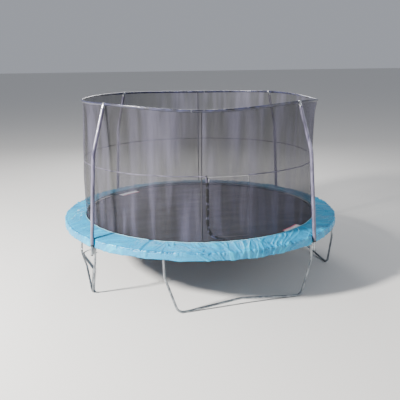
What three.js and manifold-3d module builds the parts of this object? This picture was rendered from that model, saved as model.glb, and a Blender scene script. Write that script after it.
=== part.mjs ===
// A round garden trampoline with a net enclosure, standing on four bent-tube legs.
// Millimetres, +Z up, origin on the ground under the centre. Angles run from the -Y side towards +X.
// The legs stand at 0, 90, 180 and 270 degrees, and one enclosure pole is bolted to each.

import * as THREE from "three";
import { mergeVertices } from "three/addons/utils/BufferGeometryUtils.js";
import Module from "manifold-3d";

const wasm = await Module();
wasm.setup();

const degrees = THREE.MathUtils.degToRad;

// ---- Frame rail, mat and springs ----
const FRAME_RADIUS = 2100; // rail centreline
const RAIL_HEIGHT = 820; // rail centreline above the ground
const RAIL_TUBE_RADIUS = 19;
const TUBE_WALL = 1.5;
const LEG_COUNT = 4;
const RAIL_SECTIONS = 2 * LEG_COUNT;
const RAIL_STEPS = 6; // straight facets in one rail section
const SPRINGS_PER_SECTION = 11;
const SPRING_WIDTH = 14;
const SPRING_SPAN = 230; // from the mat's edge to the rail centreline
const SPRING_DEPTH = 8;
const SPRING_DROP = 2; // the springs' middle below the mat's
const SPRING_RAIL_GAP = 3;
const RING_ROW_WIDTH = 9; // the row of hooks along the mat's edge
const MAT_RISE = 28; // the mat's top above the rail centreline
const MAT_THICKNESS = 6;
const ROUND_STEPS = 72; // facets round the mat and the pad

// ---- Legs ----
const LEG_TUBE_RADIUS = 16;
const LEG_HALF_ANGLE = degrees(30); // from a leg's middle to each of its posts
const LEG_SPLAY = degrees(4.5); // the leg's plane leans out towards the ground
const POST_JOINT_HEIGHT = 550; // where a post slides over the base tube
const KNEE_HEIGHT = 515;
const KNEE_RADIUS = 100;
const FOOT_INSET = 165; // the foot's corner, in from the post
const FOOT_FLAT_LENGTH = 145; // from the foot's corner to where the base starts to rise
const HEEL_RADIUS = 100;
const BASE_RISE = 77; // the middle of the base above its feet
const BASE_BEND_RADIUS = 150;
const SOCKET_COLLAR = 12; // below the rail's surface
const SOCKET_COLLAR_RADIUS = 18;
const SOCKET_SPIGOT_LENGTH = 34;
const SPIGOT_LENGTH = 60; // how far a swaged end reaches into the next tube
const SWAGE_FIT = 0.5;

// ---- Enclosure poles and top ring ----
const POLE_TUBE_RADIUS = 16;
const SLEEVE_RADIUS = 26;
const SLEEVE_FIT = 0.5; // foam bore over the pole
const SLEEVE_RAIL_GAP = 5;
const POLE_LEAN = degrees(5);
const POLE_DROP = 180; // the pole's foot below the rail centreline
const SLEEVE_DROP = 32; // the foam's foot below the rail centreline
const POLE_JOINT_HEIGHT = 1500;
const POLE_BEND_HEIGHT = 2020;
const POLE_BEND_RADIUS = 500;
const BOLT_DROPS = [78, 150]; // below the rail centreline
const BOLT_RADIUS = 4;
const BOLT_FIT = 0.4;
const BOLT_HEAD_RADIUS = 8;
const BOLT_HEAD_LENGTH = 6;
const BOLT_TAIL_LENGTH = 24; // past the nut
const SPACER_WIDTH = 26;
const SPACER_MARGIN = 16; // past the bolts, up and down
const SPACER_FIT = 0.5;
const RING_HEIGHT = 2662; // at the poles
const RING_INSET = 269; // in from the rail centreline
const RING_TUBE_RADIUS = 9.5;
const RING_SAGS = [62, 50, 15, 8]; // between poles: front, right, back, left
const RING_DENTS = [30, 35, 30, 56]; // how far the same spans are pulled in
const RING_STEPS = 9; // facets in one ring tube
const RING_JOINT_STEPS = 5; // facets from a ring tube's start to its pole
const CAP_WALL = 3;
const CAP_GRIP = 42; // length over the pole's end
const EYE_LENGTH = 36;
const EYE_WALL = 5;
const EYE_FIT = 3; // room for the ring's fabric sleeve

// ---- Net, door and zip ----
const NET_THICKNESS = 4;
const NET_RING_GAP = 8;
const NET_TOP_GAP = 20; // below the ring's lowest sag
const NET_MAT_GAP = 22;
const NET_SEAM_ANGLE = degrees(-16.3);
const NET_STEPS = 24; // facets in each half of the net
const DOOR_LEFT_ANGLE = degrees(-14);
const DOOR_RIGHT_ANGLE = degrees(3.5);
const DOOR_SILL = 105; // above the mat
const DOOR_HEIGHT = 807;
const DOOR_GAP = 6;
const DOOR_STEPS = 3;
const ZIP_EDGE = 12; // slider's middle, in from the door's free edge
const SLIDER_WIDTH = 11;
const SLIDER_HEIGHT = 20;
const SLIDER_DEPTH = 7;
const SLIDER_TAB_LENGTH = 34;
const SLIDER_TAB_WIDTH = 6;
const SLIDER_TAB_DEPTH = 2;

// ---- Safety pad ----
const PAD_NET_GAP = 17;
const PAD_MAT_GAP = 25;
const PAD_RAIL_GAP = 3;
const PAD_INNER_THICKNESS = 28;
const PAD_OUTER_THICKNESS = 25;
const SKIRT_RAIL_GAP = 24;
const SKIRT_THICKNESS = 5;
const SKIRT_DROP = 110; // below the pad's outer top edge
const PAD_ROUNDING = 9;
const PAD_POLE_GAP = 4;
const PAD_SEAM_ANGLE = degrees(52);
const PAD_SEAM_GAP = 0.6;

const GAP = 0.3; // between pieces that touch
const TUBE_SIDES = 8;
const RING_TUBE_SIDES = 6;
const BOLT_SIDES = 6;
const BEND_STEP = degrees(24); // largest turn between two cross-sections of a bend

// ---- Sizes that follow ----
const MAT_RADIUS = FRAME_RADIUS - SPRING_SPAN;
const MAT_TOP = RAIL_HEIGHT + MAT_RISE;
const RAIL_SECTION_ANGLE = (2 * Math.PI) / RAIL_SECTIONS;
const LEG_HALF_CHORD = FRAME_RADIUS * Math.sin(LEG_HALF_ANGLE);
const FOOT_AXIS_HEIGHT = LEG_TUBE_RADIUS * Math.cos(Math.PI / TUBE_SIDES);
const FOOT_DISTANCE =
  FRAME_RADIUS * Math.cos(LEG_HALF_ANGLE) +
  (RAIL_HEIGHT - FOOT_AXIS_HEIGHT) * Math.tan(LEG_SPLAY);
const RING_RADIUS = FRAME_RADIUS - RING_INSET;
const NET_RADIUS = RING_RADIUS - RING_TUBE_RADIUS - NET_RING_GAP - NET_THICKNESS / 2;
const NET_TOP = RING_HEIGHT - Math.max(...RING_SAGS) - NET_TOP_GAP;
const NET_BOTTOM = MAT_TOP + NET_MAT_GAP;
const DOOR_BOTTOM = MAT_TOP + DOOR_SILL;
const DOOR_TOP = DOOR_BOTTOM + DOOR_HEIGHT;
const POLE_RADIAL_AT_RAIL = FRAME_RADIUS + RAIL_TUBE_RADIUS + SLEEVE_RADIUS + SLEEVE_RAIL_GAP;

// ---- Materials ----
function metal(color, roughness) {
  return new THREE.MeshStandardMaterial({ color, roughness, metalness: 0.9 });
}

function soft(color, roughness) {
  return new THREE.MeshStandardMaterial({ color, roughness, metalness: 0 });
}

const galvanisedSteel = () => metal(0xc9ccd2, 0.32);
const zincFastener = () => metal(0xb9bcc0, 0.28);
const springSteel = () => metal(0xa9adb3, 0.35);
const foamSleeve = () => soft(0x4d4a55, 0.38);
const netMesh = () => soft(0x17171b, 0.8);
const matWeave = () => soft(0x2b2930, 0.78);
const padVinyl = () => soft(0x2c9fb8, 0.42);

// ---- Geometry helpers ----
function polar(angle, radius, z) {
  return new THREE.Vector3(radius * Math.sin(angle), -radius * Math.cos(angle), z);
}

// A path that puts one cross-section at each of its points, square to the bend there. The points
// before and after it, where a neighbour carries on, mitre its ends.
class PointPath extends THREE.Curve {
  constructor(points, { before, after } = {}) {
    super();
    this.points = points;
    this.before = before;
    this.after = after;
  }

  getPoint(t) {
    const last = this.points.length - 1;
    const i = Math.min(Math.floor(t * last), last - 1);
    return this.points[i].clone().lerp(this.points[i + 1], t * last - i);
  }

  getSpacedPoints() {
    return this.points.map((point) => point.clone());
  }

  getTangentAt(u) {
    const i = Math.round(u * (this.points.length - 1));
    const here = this.points[i];
    const before = this.points[i - 1] ?? this.before;
    const after = this.points[i + 1] ?? this.after;
    const tangent = new THREE.Vector3();
    if (before) {
      tangent.add(here.clone().sub(before).normalize());
    }
    if (after) {
      tangent.add(after.clone().sub(here).normalize());
    }
    return tangent.normalize();
  }
}

function polygon(radius, sides, turn = 0) {
  return Array.from({ length: sides }, (_, i) => {
    const angle = turn + (2 * Math.PI * i) / sides;
    return new THREE.Vector2(radius * Math.cos(angle), radius * Math.sin(angle));
  });
}

function pipeSection(radius, wall, sides, turn = 0) {
  const section = new THREE.Shape(polygon(radius, sides, turn));
  section.holes.push(new THREE.Path(polygon(radius - wall, sides, turn)));
  return section;
}

function sweep(points, section, ends) {
  return new THREE.ExtrudeGeometry(section, {
    extrudePath: new PointPath(points, ends),
    steps: points.length - 1,
    bevelEnabled: false,
  });
}

// An arc round the middle, with the points on either side of it that mitre its ends.
function arc(from, to, steps, at) {
  const step = (to - from) / steps;
  const points = Array.from({ length: steps + 1 }, (_, i) => at(from + i * step));
  return { points, ends: { before: at(from - step), after: at(to + step) } };
}

// The points of a bent tube: its corners, each rounded to its own radius.
function bentLine(corners) {
  const points = [corners[0].at];
  for (let i = 1; i < corners.length - 1; i += 1) {
    const { at, radius } = corners[i];
    const back = corners[i - 1].at.clone().sub(at).normalize();
    const ahead = corners[i + 1].at.clone().sub(at).normalize();
    const turn = Math.PI - back.angleTo(ahead);
    const towardsCentre = back.clone().add(ahead).normalize();
    const centre = at.clone().addScaledVector(towardsCentre, radius / Math.cos(turn / 2));
    const start = at.clone().addScaledVector(back, radius * Math.tan(turn / 2)).sub(centre);
    const axis = start.clone().cross(ahead).normalize();
    const steps = Math.ceil(turn / BEND_STEP);
    for (let j = 0; j <= steps; j += 1) {
      points.push(start.clone().applyAxisAngle(axis, (turn * j) / steps).add(centre));
    }
  }
  points.push(corners[corners.length - 1].at);
  return points;
}

function lathe(profile, sides) {
  const points = profile.map(([radius, height]) => new THREE.Vector2(radius, height));
  return new THREE.LatheGeometry(points, sides).rotateX(Math.PI / 2);
}

// Turns a geometry made along +Z so that it starts at a point and runs along a direction.
function along(geometry, start, direction) {
  const up = new THREE.Vector3(0, 0, 1);
  const turn = new THREE.Quaternion().setFromUnitVectors(up, direction.clone().normalize());
  return geometry.applyQuaternion(turn).translate(start.x, start.y, start.z);
}

function rod(start, direction, radius, length, sides = TUBE_SIDES) {
  const profile = [
    [0, 0],
    [radius, 0],
    [radius, length],
    [0, length],
  ];
  return along(lathe(profile, sides), start, direction);
}

function toSolid(geometry) {
  const bare = geometry.clone();
  bare.deleteAttribute("normal");
  bare.deleteAttribute("uv");
  const merged = mergeVertices(bare, 1e-3);
  const mesh = new wasm.Mesh({
    numProp: 3,
    vertProperties: merged.attributes.position.array,
    triVerts: new Uint32Array(merged.index.array),
  });
  return new wasm.Manifold(mesh);
}

function fromSolid(solid) {
  const { vertProperties, triVerts } = solid.getMesh();
  const geometry = new THREE.BufferGeometry();
  geometry.setAttribute("position", new THREE.BufferAttribute(vertProperties, 3));
  geometry.setIndex(new THREE.BufferAttribute(triVerts, 1));
  geometry.computeVertexNormals();
  return geometry;
}

function join(first, ...others) {
  const joined = others.reduce((sum, next) => sum.add(toSolid(next)), toSolid(first));
  return fromSolid(joined);
}

function cut(first, ...others) {
  const left = others.reduce((rest, next) => rest.subtract(toSolid(next)), toSolid(first));
  return fromSolid(left);
}

function piece(name, geometry, material) {
  const mesh = new THREE.Mesh(geometry, material);
  mesh.name = name;
  return mesh;
}

// How far a swaged end's outside stands in from the next tube's outside, so that it slides in.
function slideRadius(tubeRadius) {
  return (tubeRadius - TUBE_WALL) * Math.cos(Math.PI / TUBE_SIDES) - SWAGE_FIT;
}

// A tube along a path. Each swage is a narrower end, { end, direction }, that slides into the next tube.
function pipe(points, radius, { swages = [], turn = 0, ends } = {}) {
  const root = radius / 2;
  const slide = slideRadius(radius);
  const last = points.length - 1;
  const borePoints = points.map((point) => point.clone());
  for (const [name, at, beside] of [["first", 0, 1], ["last", last, last - 1]]) {
    const outwards = points[at].clone().sub(points[beside]).normalize();
    const swaged = swages.some(({ end }) => end === name);
    borePoints[at].addScaledVector(outwards, swaged ? -root : root);
  }
  let body = toSolid(sweep(points, new THREE.Shape(polygon(radius, TUBE_SIDES, turn)), ends));
  const throats = swages.map(({ end, direction }) => {
    const tip = points[end === "last" ? last : 0];
    const ahead = direction.clone().normalize();
    const start = tip.clone().addScaledVector(ahead, -root / 2);
    body = body.add(toSolid(rod(start, ahead, slide, root / 2 + SPIGOT_LENGTH)));
    const throatStart = tip.clone().addScaledVector(ahead, -2 * root);
    return rod(throatStart, ahead, slide - TUBE_WALL, 4 * root + SPIGOT_LENGTH);
  });
  const bore = sweep(borePoints, new THREE.Shape(polygon(radius - TUBE_WALL, TUBE_SIDES, turn)), ends);
  return cut(fromSolid(body), bore, ...throats);
}

// ---- Where the posts and poles stand, in the frame of leg 1 ----
const legUp = new THREE.Vector3(0, Math.sin(LEG_SPLAY), Math.cos(LEG_SPLAY));

function postPoint(side, height) {
  const splay = (RAIL_HEIGHT - height) * Math.tan(LEG_SPLAY);
  const distance = FRAME_RADIUS * Math.cos(LEG_HALF_ANGLE) + splay;
  return new THREE.Vector3(side * LEG_HALF_CHORD, -distance, height);
}

const boltHeights = BOLT_DROPS.map((drop) => RAIL_HEIGHT - drop);
const clampHeight = (boltHeights[0] + boltHeights[1]) / 2;
const clampPost = postPoint(1, clampHeight);
const POLE_ANGLE = Math.atan2(clampPost.x, -clampPost.y);

function polePoint(height) {
  const radial = POLE_RADIAL_AT_RAIL - (height - RAIL_HEIGHT) * Math.tan(POLE_LEAN);
  return polar(POLE_ANGLE, radial, height);
}

const outwards = polar(POLE_ANGLE, 1, 0);
const poleUp = polePoint(RAIL_HEIGHT + 1).sub(polePoint(RAIL_HEIGHT)).normalize();
const ringPoint = polar(POLE_ANGLE, RING_RADIUS, RING_HEIGHT);
const poleBend = polePoint(POLE_BEND_HEIGHT);
const poleTopUp = ringPoint.clone().sub(poleBend).normalize();
const poleTop = ringPoint.clone().addScaledVector(poleTopUp, -RING_TUBE_RADIUS - EYE_WALL - EYE_FIT);
const boltInwards = poleUp.clone().cross(outwards).cross(poleUp).negate().normalize();

// Turns a tube's section so that the bolts meet it in the middle of a flat.
const facetOutwards = Math.PI / 2 + POLE_ANGLE - Math.PI / TUBE_SIDES;

function boltReach(height) {
  const gapAlong = postPoint(1, height).sub(polePoint(height)).dot(boltInwards);
  return gapAlong + LEG_TUBE_RADIUS;
}

function boltHole(height) {
  const reach = boltReach(height) + 2 * LEG_TUBE_RADIUS;
  const start = polePoint(height).addScaledVector(boltInwards, -2 * POLE_TUBE_RADIUS);
  return rod(start, boltInwards, BOLT_RADIUS + BOLT_FIT, reach + 2 * POLE_TUBE_RADIUS, BOLT_SIDES);
}

// ---- Frame ----
function railPointAt(angle) {
  return polar(angle, FRAME_RADIUS, RAIL_HEIGHT);
}

function railSection(index) {
  const from = index * RAIL_SECTION_ANGLE;
  const to = from + RAIL_SECTION_ANGLE - GAP / FRAME_RADIUS;
  const { points, ends } = arc(from, to, RAIL_STEPS, railPointAt);
  const side = index % 2 ? -1 : 1;
  const legAngle = index % 2 ? from + RAIL_SECTION_ANGLE : from;
  const turn = new THREE.Quaternion().setFromAxisAngle(new THREE.Vector3(0, 0, 1), legAngle);
  const socketTop = postPoint(side, RAIL_HEIGHT).applyQuaternion(turn);
  const down = legUp.clone().negate().applyQuaternion(turn);
  const slide = slideRadius(LEG_TUBE_RADIUS);
  const collarEnd = RAIL_TUBE_RADIUS + SOCKET_COLLAR - GAP;
  const socketProfile = [
    [0, 0],
    [SOCKET_COLLAR_RADIUS, 0],
    [SOCKET_COLLAR_RADIUS, collarEnd],
    [slide, collarEnd],
    [slide, collarEnd + SOCKET_SPIGOT_LENGTH],
    [0, collarEnd + SOCKET_SPIGOT_LENGTH],
  ];
  const socket = along(lathe(socketProfile, TUBE_SIDES), socketTop, down);
  const socketBore = sweep(points, new THREE.Shape(polygon(RAIL_TUBE_RADIUS - TUBE_WALL / 2, TUBE_SIDES)));
  const swage = { end: "last", direction: ends.after.clone().sub(points[RAIL_STEPS]) };
  const rail = pipe(points, RAIL_TUBE_RADIUS, { swages: [swage], ends });
  const tube = join(rail, cut(socket, socketBore));
  return piece(`rail_section_${index + 1}`, tube, galvanisedSteel());
}

// ---- Legs: each is drawn in its own upright plane, which then leans out ----
function legPlanePoint(x, height) {
  return new THREE.Vector3(x, 0, height);
}

function legBase(number) {
  const rise = (height) => (height - FOOT_AXIS_HEIGHT) / Math.cos(LEG_SPLAY);
  const half = (side) => [
    { at: legPlanePoint(side * LEG_HALF_CHORD, rise(POST_JOINT_HEIGHT)) },
    { at: legPlanePoint(side * LEG_HALF_CHORD, rise(KNEE_HEIGHT)), radius: KNEE_RADIUS },
    { at: legPlanePoint(side * (LEG_HALF_CHORD - FOOT_INSET), 0), radius: HEEL_RADIUS },
    {
      at: legPlanePoint(side * (LEG_HALF_CHORD - FOOT_INSET - FOOT_FLAT_LENGTH), 0),
      radius: BASE_BEND_RADIUS,
    },
  ];
  const middle = { at: legPlanePoint(0, BASE_RISE), radius: BASE_BEND_RADIUS };
  const points = bentLine([...half(-1), middle, ...half(1).reverse()]);
  const up = new THREE.Vector3(0, 0, 1);
  const swages = ["first", "last"].map((end) => ({ end, direction: up }));
  const flatDown = Math.PI / 2 + LEG_SPLAY - Math.PI / TUBE_SIDES;
  const tube = pipe(points, LEG_TUBE_RADIUS, { swages, turn: flatDown });
  return piece(`leg_base_${number}`, tube, galvanisedSteel());
}

function legGroup(number) {
  const group = new THREE.Group();
  group.position.set(0, -FOOT_DISTANCE, FOOT_AXIS_HEIGHT);
  group.rotation.x = -LEG_SPLAY;
  group.add(legBase(number));
  return group;
}

// The posts are drawn in the frame of leg 1, because two of the eight are drilled for the pole's bolts.
function legPost(number, side) {
  const jointEnd = postPoint(side, POST_JOINT_HEIGHT).addScaledVector(legUp, GAP);
  const topEnd = postPoint(side, RAIL_HEIGHT).addScaledVector(legUp, -RAIL_TUBE_RADIUS - SOCKET_COLLAR);
  const tube = pipe([jointEnd, topEnd], LEG_TUBE_RADIUS, { turn: facetOutwards });
  const drilled = side > 0 ? cut(tube, ...boltHeights.map(boltHole)) : tube;
  const name = side > 0 ? `leg_post_${number}_right` : `leg_post_${number}_left`;
  return piece(name, drilled, galvanisedSteel());
}

// ---- Enclosure poles, in the frame of leg 1 ----
function poleLower(number) {
  const foot = polePoint(RAIL_HEIGHT - POLE_DROP);
  const head = polePoint(POLE_JOINT_HEIGHT).addScaledVector(poleUp, -GAP);
  const plain = pipe([foot, head], POLE_TUBE_RADIUS, { turn: facetOutwards });
  const tube = cut(plain, ...boltHeights.map(boltHole));
  return piece(`pole_lower_${number}`, tube, galvanisedSteel());
}

function poleUpper(number) {
  const foot = polePoint(POLE_JOINT_HEIGHT);
  const points = bentLine([{ at: foot }, { at: poleBend, radius: POLE_BEND_RADIUS }, { at: poleTop }]);
  const swage = { end: "first", direction: poleUp.clone().negate() };
  const tube = pipe(points, POLE_TUBE_RADIUS, { swages: [swage], turn: facetOutwards });
  return piece(`pole_upper_${number}`, tube, galvanisedSteel());
}

function poleSleeve(number) {
  const foot = polePoint(RAIL_HEIGHT - SLEEVE_DROP);
  const head = poleTop.clone().addScaledVector(poleTopUp, -CAP_GRIP - GAP);
  const points = bentLine([{ at: foot }, { at: poleBend, radius: POLE_BEND_RADIUS }, { at: head }]);
  const wall = SLEEVE_RADIUS - POLE_TUBE_RADIUS - SLEEVE_FIT;
  const section = pipeSection(SLEEVE_RADIUS, wall, TUBE_SIDES, facetOutwards);
  return piece(`pole_sleeve_${number}`, sweep(points, section), foamSleeve());
}

function poleCap(number) {
  const bore = POLE_TUBE_RADIUS + SLEEVE_FIT;
  const outer = bore + CAP_WALL;
  const cupStart = poleTop.clone().addScaledVector(poleTopUp, -CAP_GRIP);
  const cupLength = CAP_GRIP + EYE_WALL;
  const cup = rod(cupStart, poleTopUp, outer, cupLength);
  const tangent = polar(POLE_ANGLE + Math.PI / 2, 1, 0);
  const eyeStart = ringPoint.clone().addScaledVector(tangent, -EYE_LENGTH / 2);
  const eye = rod(eyeStart, tangent, RING_TUBE_RADIUS + EYE_FIT + EYE_WALL, EYE_LENGTH);
  const eyeBoreStart = ringPoint.clone().addScaledVector(tangent, -EYE_LENGTH);
  const eyeBoreRadius = (RING_TUBE_RADIUS + EYE_FIT) / Math.cos(Math.PI / TUBE_SIDES);
  const eyeBore = rod(eyeBoreStart, tangent, eyeBoreRadius, 2 * EYE_LENGTH);
  const cupBoreStart = cupStart.clone().addScaledVector(poleTopUp, -CAP_GRIP);
  const cupBoreRadius = bore / Math.cos(Math.PI / TUBE_SIDES);
  const cupBore = rod(cupBoreStart, poleTopUp, cupBoreRadius, 2 * CAP_GRIP + GAP);
  return piece(`pole_cap_${number}`, cut(join(cup, eye), cupBore, eyeBore), zincFastener());
}

function poleSpacer(number) {
  const height = boltHeights[0] - boltHeights[1] + 2 * SPACER_MARGIN;
  const pole = polePoint(clampHeight);
  const reach = boltReach(clampHeight) - LEG_TUBE_RADIUS;
  const middle = pole.clone().addScaledVector(boltInwards, reach / 2);
  const block = new THREE.BoxGeometry(SPACER_WIDTH, 0.75 * reach, height);
  block.rotateX(-POLE_LEAN).rotateZ(POLE_ANGLE).translate(middle.x, middle.y, middle.z);
  const wide = (radius) => (radius + SPACER_FIT) / Math.cos(Math.PI / TUBE_SIDES);
  const poleStart = pole.clone().addScaledVector(poleUp, -height);
  const poleBore = rod(poleStart, poleUp, wide(POLE_TUBE_RADIUS), 2 * height);
  const postStart = clampPost.clone().addScaledVector(legUp, -height);
  const postBore = rod(postStart, legUp, wide(LEG_TUBE_RADIUS), 2 * height);
  const holes = boltHeights.map(boltHole);
  return piece(`pole_spacer_${number}`, cut(block, poleBore, postBore, ...holes), galvanisedSteel());
}

function poleBolt(number, place, height) {
  const nutStart = boltReach(height) + 2 * GAP;
  const nutEnd = nutStart + BOLT_HEAD_LENGTH;
  const headEnd = -POLE_TUBE_RADIUS - GAP;
  const profile = [
    [0, headEnd - BOLT_HEAD_LENGTH],
    [BOLT_HEAD_RADIUS, headEnd - BOLT_HEAD_LENGTH],
    [BOLT_HEAD_RADIUS, headEnd],
    [BOLT_RADIUS, headEnd],
    [BOLT_RADIUS, nutStart],
    [BOLT_HEAD_RADIUS, nutStart],
    [BOLT_HEAD_RADIUS, nutEnd],
    [BOLT_RADIUS, nutEnd],
    [BOLT_RADIUS, nutEnd + BOLT_TAIL_LENGTH],
    [0, nutEnd + BOLT_TAIL_LENGTH],
  ];
  const bolt = along(lathe(profile, BOLT_SIDES), polePoint(height), boltInwards);
  return piece(`pole_bolt_${number}_${place}`, bolt, zincFastener());
}

// ---- Top ring: it rests on the poles, and between them it sags and the net pulls it in ----
function ringPointAt(angle) {
  const quarter = Math.PI / 2;
  const turns = (angle - POLE_ANGLE) / quarter + 1;
  const span = ((Math.floor(turns) % LEG_COUNT) + LEG_COUNT) % LEG_COUNT;
  const share = turns - Math.floor(turns);
  const give = Math.sin(Math.PI * share) ** 2;
  return polar(angle, RING_RADIUS - RING_DENTS[span] * give, RING_HEIGHT - RING_SAGS[span] * give);
}

function ringTube(index) {
  const quarter = Math.PI / 2;
  const from = POLE_ANGLE + index * quarter - (RING_JOINT_STEPS * quarter) / RING_STEPS;
  const to = from + quarter - GAP / RING_RADIUS;
  const { points, ends } = arc(from, to, RING_STEPS, ringPointAt);
  const tube = sweep(points, pipeSection(RING_TUBE_RADIUS, TUBE_WALL, RING_TUBE_SIDES), ends);
  return piece(`top_ring_tube_${index + 1}`, tube, galvanisedSteel());
}

// ---- Net and door ----
function wall(from, to, steps, bottom, top, radius, thickness) {
  const half = (top - bottom) / 2;
  const section = new THREE.Shape([
    new THREE.Vector2(-half, -thickness / 2),
    new THREE.Vector2(half, -thickness / 2),
    new THREE.Vector2(half, thickness / 2),
    new THREE.Vector2(-half, thickness / 2),
  ]);
  const middleAt = (angle) => polar(angle, radius, (bottom + top) / 2);
  const { points, ends } = arc(from, to, steps, middleAt);
  return sweep(points, section, ends);
}

const netSeamGap = GAP / NET_RADIUS;

function netFront() {
  const net = wall(
    NET_SEAM_ANGLE,
    NET_SEAM_ANGLE + Math.PI - netSeamGap,
    NET_STEPS,
    NET_BOTTOM,
    NET_TOP,
    NET_RADIUS,
    NET_THICKNESS,
  );
  const reach = 10 * NET_THICKNESS;
  const opening = wall(
    DOOR_LEFT_ANGLE,
    DOOR_RIGHT_ANGLE,
    DOOR_STEPS,
    DOOR_BOTTOM,
    DOOR_TOP,
    NET_RADIUS,
    reach,
  );
  return piece("net_front", cut(net, opening), netMesh());
}

function netBack() {
  const from = NET_SEAM_ANGLE + Math.PI;
  const to = from + Math.PI - netSeamGap;
  const net = wall(from, to, NET_STEPS, NET_BOTTOM, NET_TOP, NET_RADIUS, NET_THICKNESS);
  return piece("net_back", net, netMesh());
}

function netDoor() {
  const edge = DOOR_GAP / NET_RADIUS;
  const flap = wall(
    DOOR_LEFT_ANGLE + edge,
    DOOR_RIGHT_ANGLE - edge,
    DOOR_STEPS,
    DOOR_BOTTOM + DOOR_GAP,
    DOOR_TOP - DOOR_GAP,
    NET_RADIUS,
    NET_THICKNESS,
  );
  return piece("net_door", flap, netMesh());
}

// The zip's slider hangs on the door's free edge, outside the net, closed at the top.
function zipSlider() {
  const angle = DOOR_LEFT_ANGLE + (DOOR_GAP + ZIP_EDGE) / NET_RADIUS;
  const radius = NET_RADIUS + NET_THICKNESS / 2 + GAP + SLIDER_DEPTH / 2;
  const body = new THREE.BoxGeometry(SLIDER_WIDTH, SLIDER_DEPTH, SLIDER_HEIGHT);
  const tab = new THREE.BoxGeometry(SLIDER_TAB_WIDTH, SLIDER_TAB_DEPTH, SLIDER_TAB_LENGTH);
  tab.translate(0, SLIDER_TAB_DEPTH - SLIDER_DEPTH / 2, -SLIDER_TAB_LENGTH / 2);
  const slider = piece("zip_slider", join(body, tab), zincFastener());
  slider.position.copy(polar(angle, radius, DOOR_TOP - DOOR_GAP - SLIDER_HEIGHT));
  slider.rotation.z = angle;
  return slider;
}

// ---- Mat and springs ----
function jumpingMat() {
  const disc = new THREE.CylinderGeometry(MAT_RADIUS, MAT_RADIUS, MAT_THICKNESS, ROUND_STEPS);
  disc.rotateX(Math.PI / 2).translate(0, 0, MAT_TOP - MAT_THICKNESS / 2);
  return piece("jumping_mat", disc, matWeave());
}

// The springs are plain bars of their outer width, joined by the row of hooks at the mat's edge.
function springs() {
  const count = SPRINGS_PER_SECTION * RAIL_SECTIONS;
  const pitch = (2 * Math.PI) / count;
  const inner = (MAT_RADIUS + GAP) / Math.cos(pitch / 2);
  const rowOuter = inner + RING_ROW_WIDTH;
  const railFace = FRAME_RADIUS * Math.cos(RAIL_SECTION_ANGLE / RAIL_STEPS / 2) - RAIL_TUBE_RADIUS;
  const barEnd = railFace - SPRING_RAIL_GAP;
  const outline = [];
  for (let i = 0; i < count; i += 1) {
    for (const [side, radius] of [[-1, rowOuter], [-1, barEnd], [1, barEnd], [1, rowOuter]]) {
      const angle = (i + 0.5) * pitch + (side * SPRING_WIDTH) / 2 / radius;
      outline.push(new THREE.Vector2(radius * Math.cos(angle), radius * Math.sin(angle)));
    }
  }
  const star = new THREE.Shape(outline);
  star.holes.push(new THREE.Path(polygon(inner, count)));
  const geometry = new THREE.ExtrudeGeometry(star, { depth: SPRING_DEPTH, bevelEnabled: false });
  geometry.translate(0, 0, MAT_TOP - (MAT_THICKNESS + SPRING_DEPTH) / 2 - SPRING_DROP);
  return piece("springs", geometry, springSteel());
}

// ---- Safety pad: foam over the springs, and a skirt that hangs outside the rail ----
function padRing() {
  const inner = NET_RADIUS + NET_THICKNESS / 2 + PAD_NET_GAP;
  const innerBottom = MAT_TOP + PAD_MAT_GAP;
  const innerTop = innerBottom + PAD_INNER_THICKNESS;
  const skirtInner = FRAME_RADIUS + RAIL_TUBE_RADIUS + SKIRT_RAIL_GAP;
  const skirtOuter = skirtInner + SKIRT_THICKNESS;
  const outerBottom = RAIL_HEIGHT + RAIL_TUBE_RADIUS + PAD_RAIL_GAP;
  const outerTop = outerBottom + PAD_OUTER_THICKNESS;
  return lathe(
    [
      [inner, innerBottom],
      [skirtInner, outerBottom],
      [skirtInner, outerTop - SKIRT_DROP],
      [skirtOuter, outerTop - SKIRT_DROP],
      [skirtOuter, outerTop - PAD_ROUNDING],
      [skirtOuter - PAD_ROUNDING, outerTop],
      [inner + PAD_ROUNDING, innerTop],
      [inner, innerTop - PAD_ROUNDING],
      [inner, innerBottom],
    ],
    ROUND_STEPS,
  );
}

// Each half of the pad keeps the seam's side, and has a slot round each pole it meets.
function padHalf(name, side) {
  const reach = 2 * FRAME_RADIUS;
  const cutter = new THREE.BoxGeometry(2 * reach, reach, reach);
  cutter.translate(0, (side * (reach - PAD_SEAM_GAP)) / 2, 0).rotateZ(PAD_SEAM_ANGLE);
  const slots = Array.from({ length: LEG_COUNT }, (_, i) => {
    const foot = polePoint(RAIL_HEIGHT - 2 * SKIRT_DROP);
    const slot = rod(foot, poleUp, SLEEVE_RADIUS + PAD_POLE_GAP, 4 * SKIRT_DROP);
    return slot.rotateZ((i * Math.PI) / 2);
  });
  return piece(name, cut(padRing(), cutter, ...slots), padVinyl());
}

// ---- Assembly ----
const trampoline = new THREE.Group();

for (let index = 0; index < RAIL_SECTIONS; index += 1) {
  trampoline.add(railSection(index));
}

for (let index = 0; index < LEG_COUNT; index += 1) {
  const number = index + 1;
  const quarter = new THREE.Group();
  quarter.rotation.z = (index * 2 * Math.PI) / LEG_COUNT;
  quarter.add(legGroup(number), legPost(number, -1), legPost(number, 1));
  quarter.add(poleLower(number), poleUpper(number), poleSleeve(number));
  quarter.add(poleCap(number), poleSpacer(number));
  quarter.add(poleBolt(number, "upper", boltHeights[0]), poleBolt(number, "lower", boltHeights[1]));
  trampoline.add(quarter, ringTube(index));
}

trampoline.add(netFront(), netBack(), netDoor(), zipSlider());
trampoline.add(jumpingMat(), springs());
trampoline.add(padHalf("pad_front", 1), padHalf("pad_back", -1));

export default trampoline;
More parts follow.
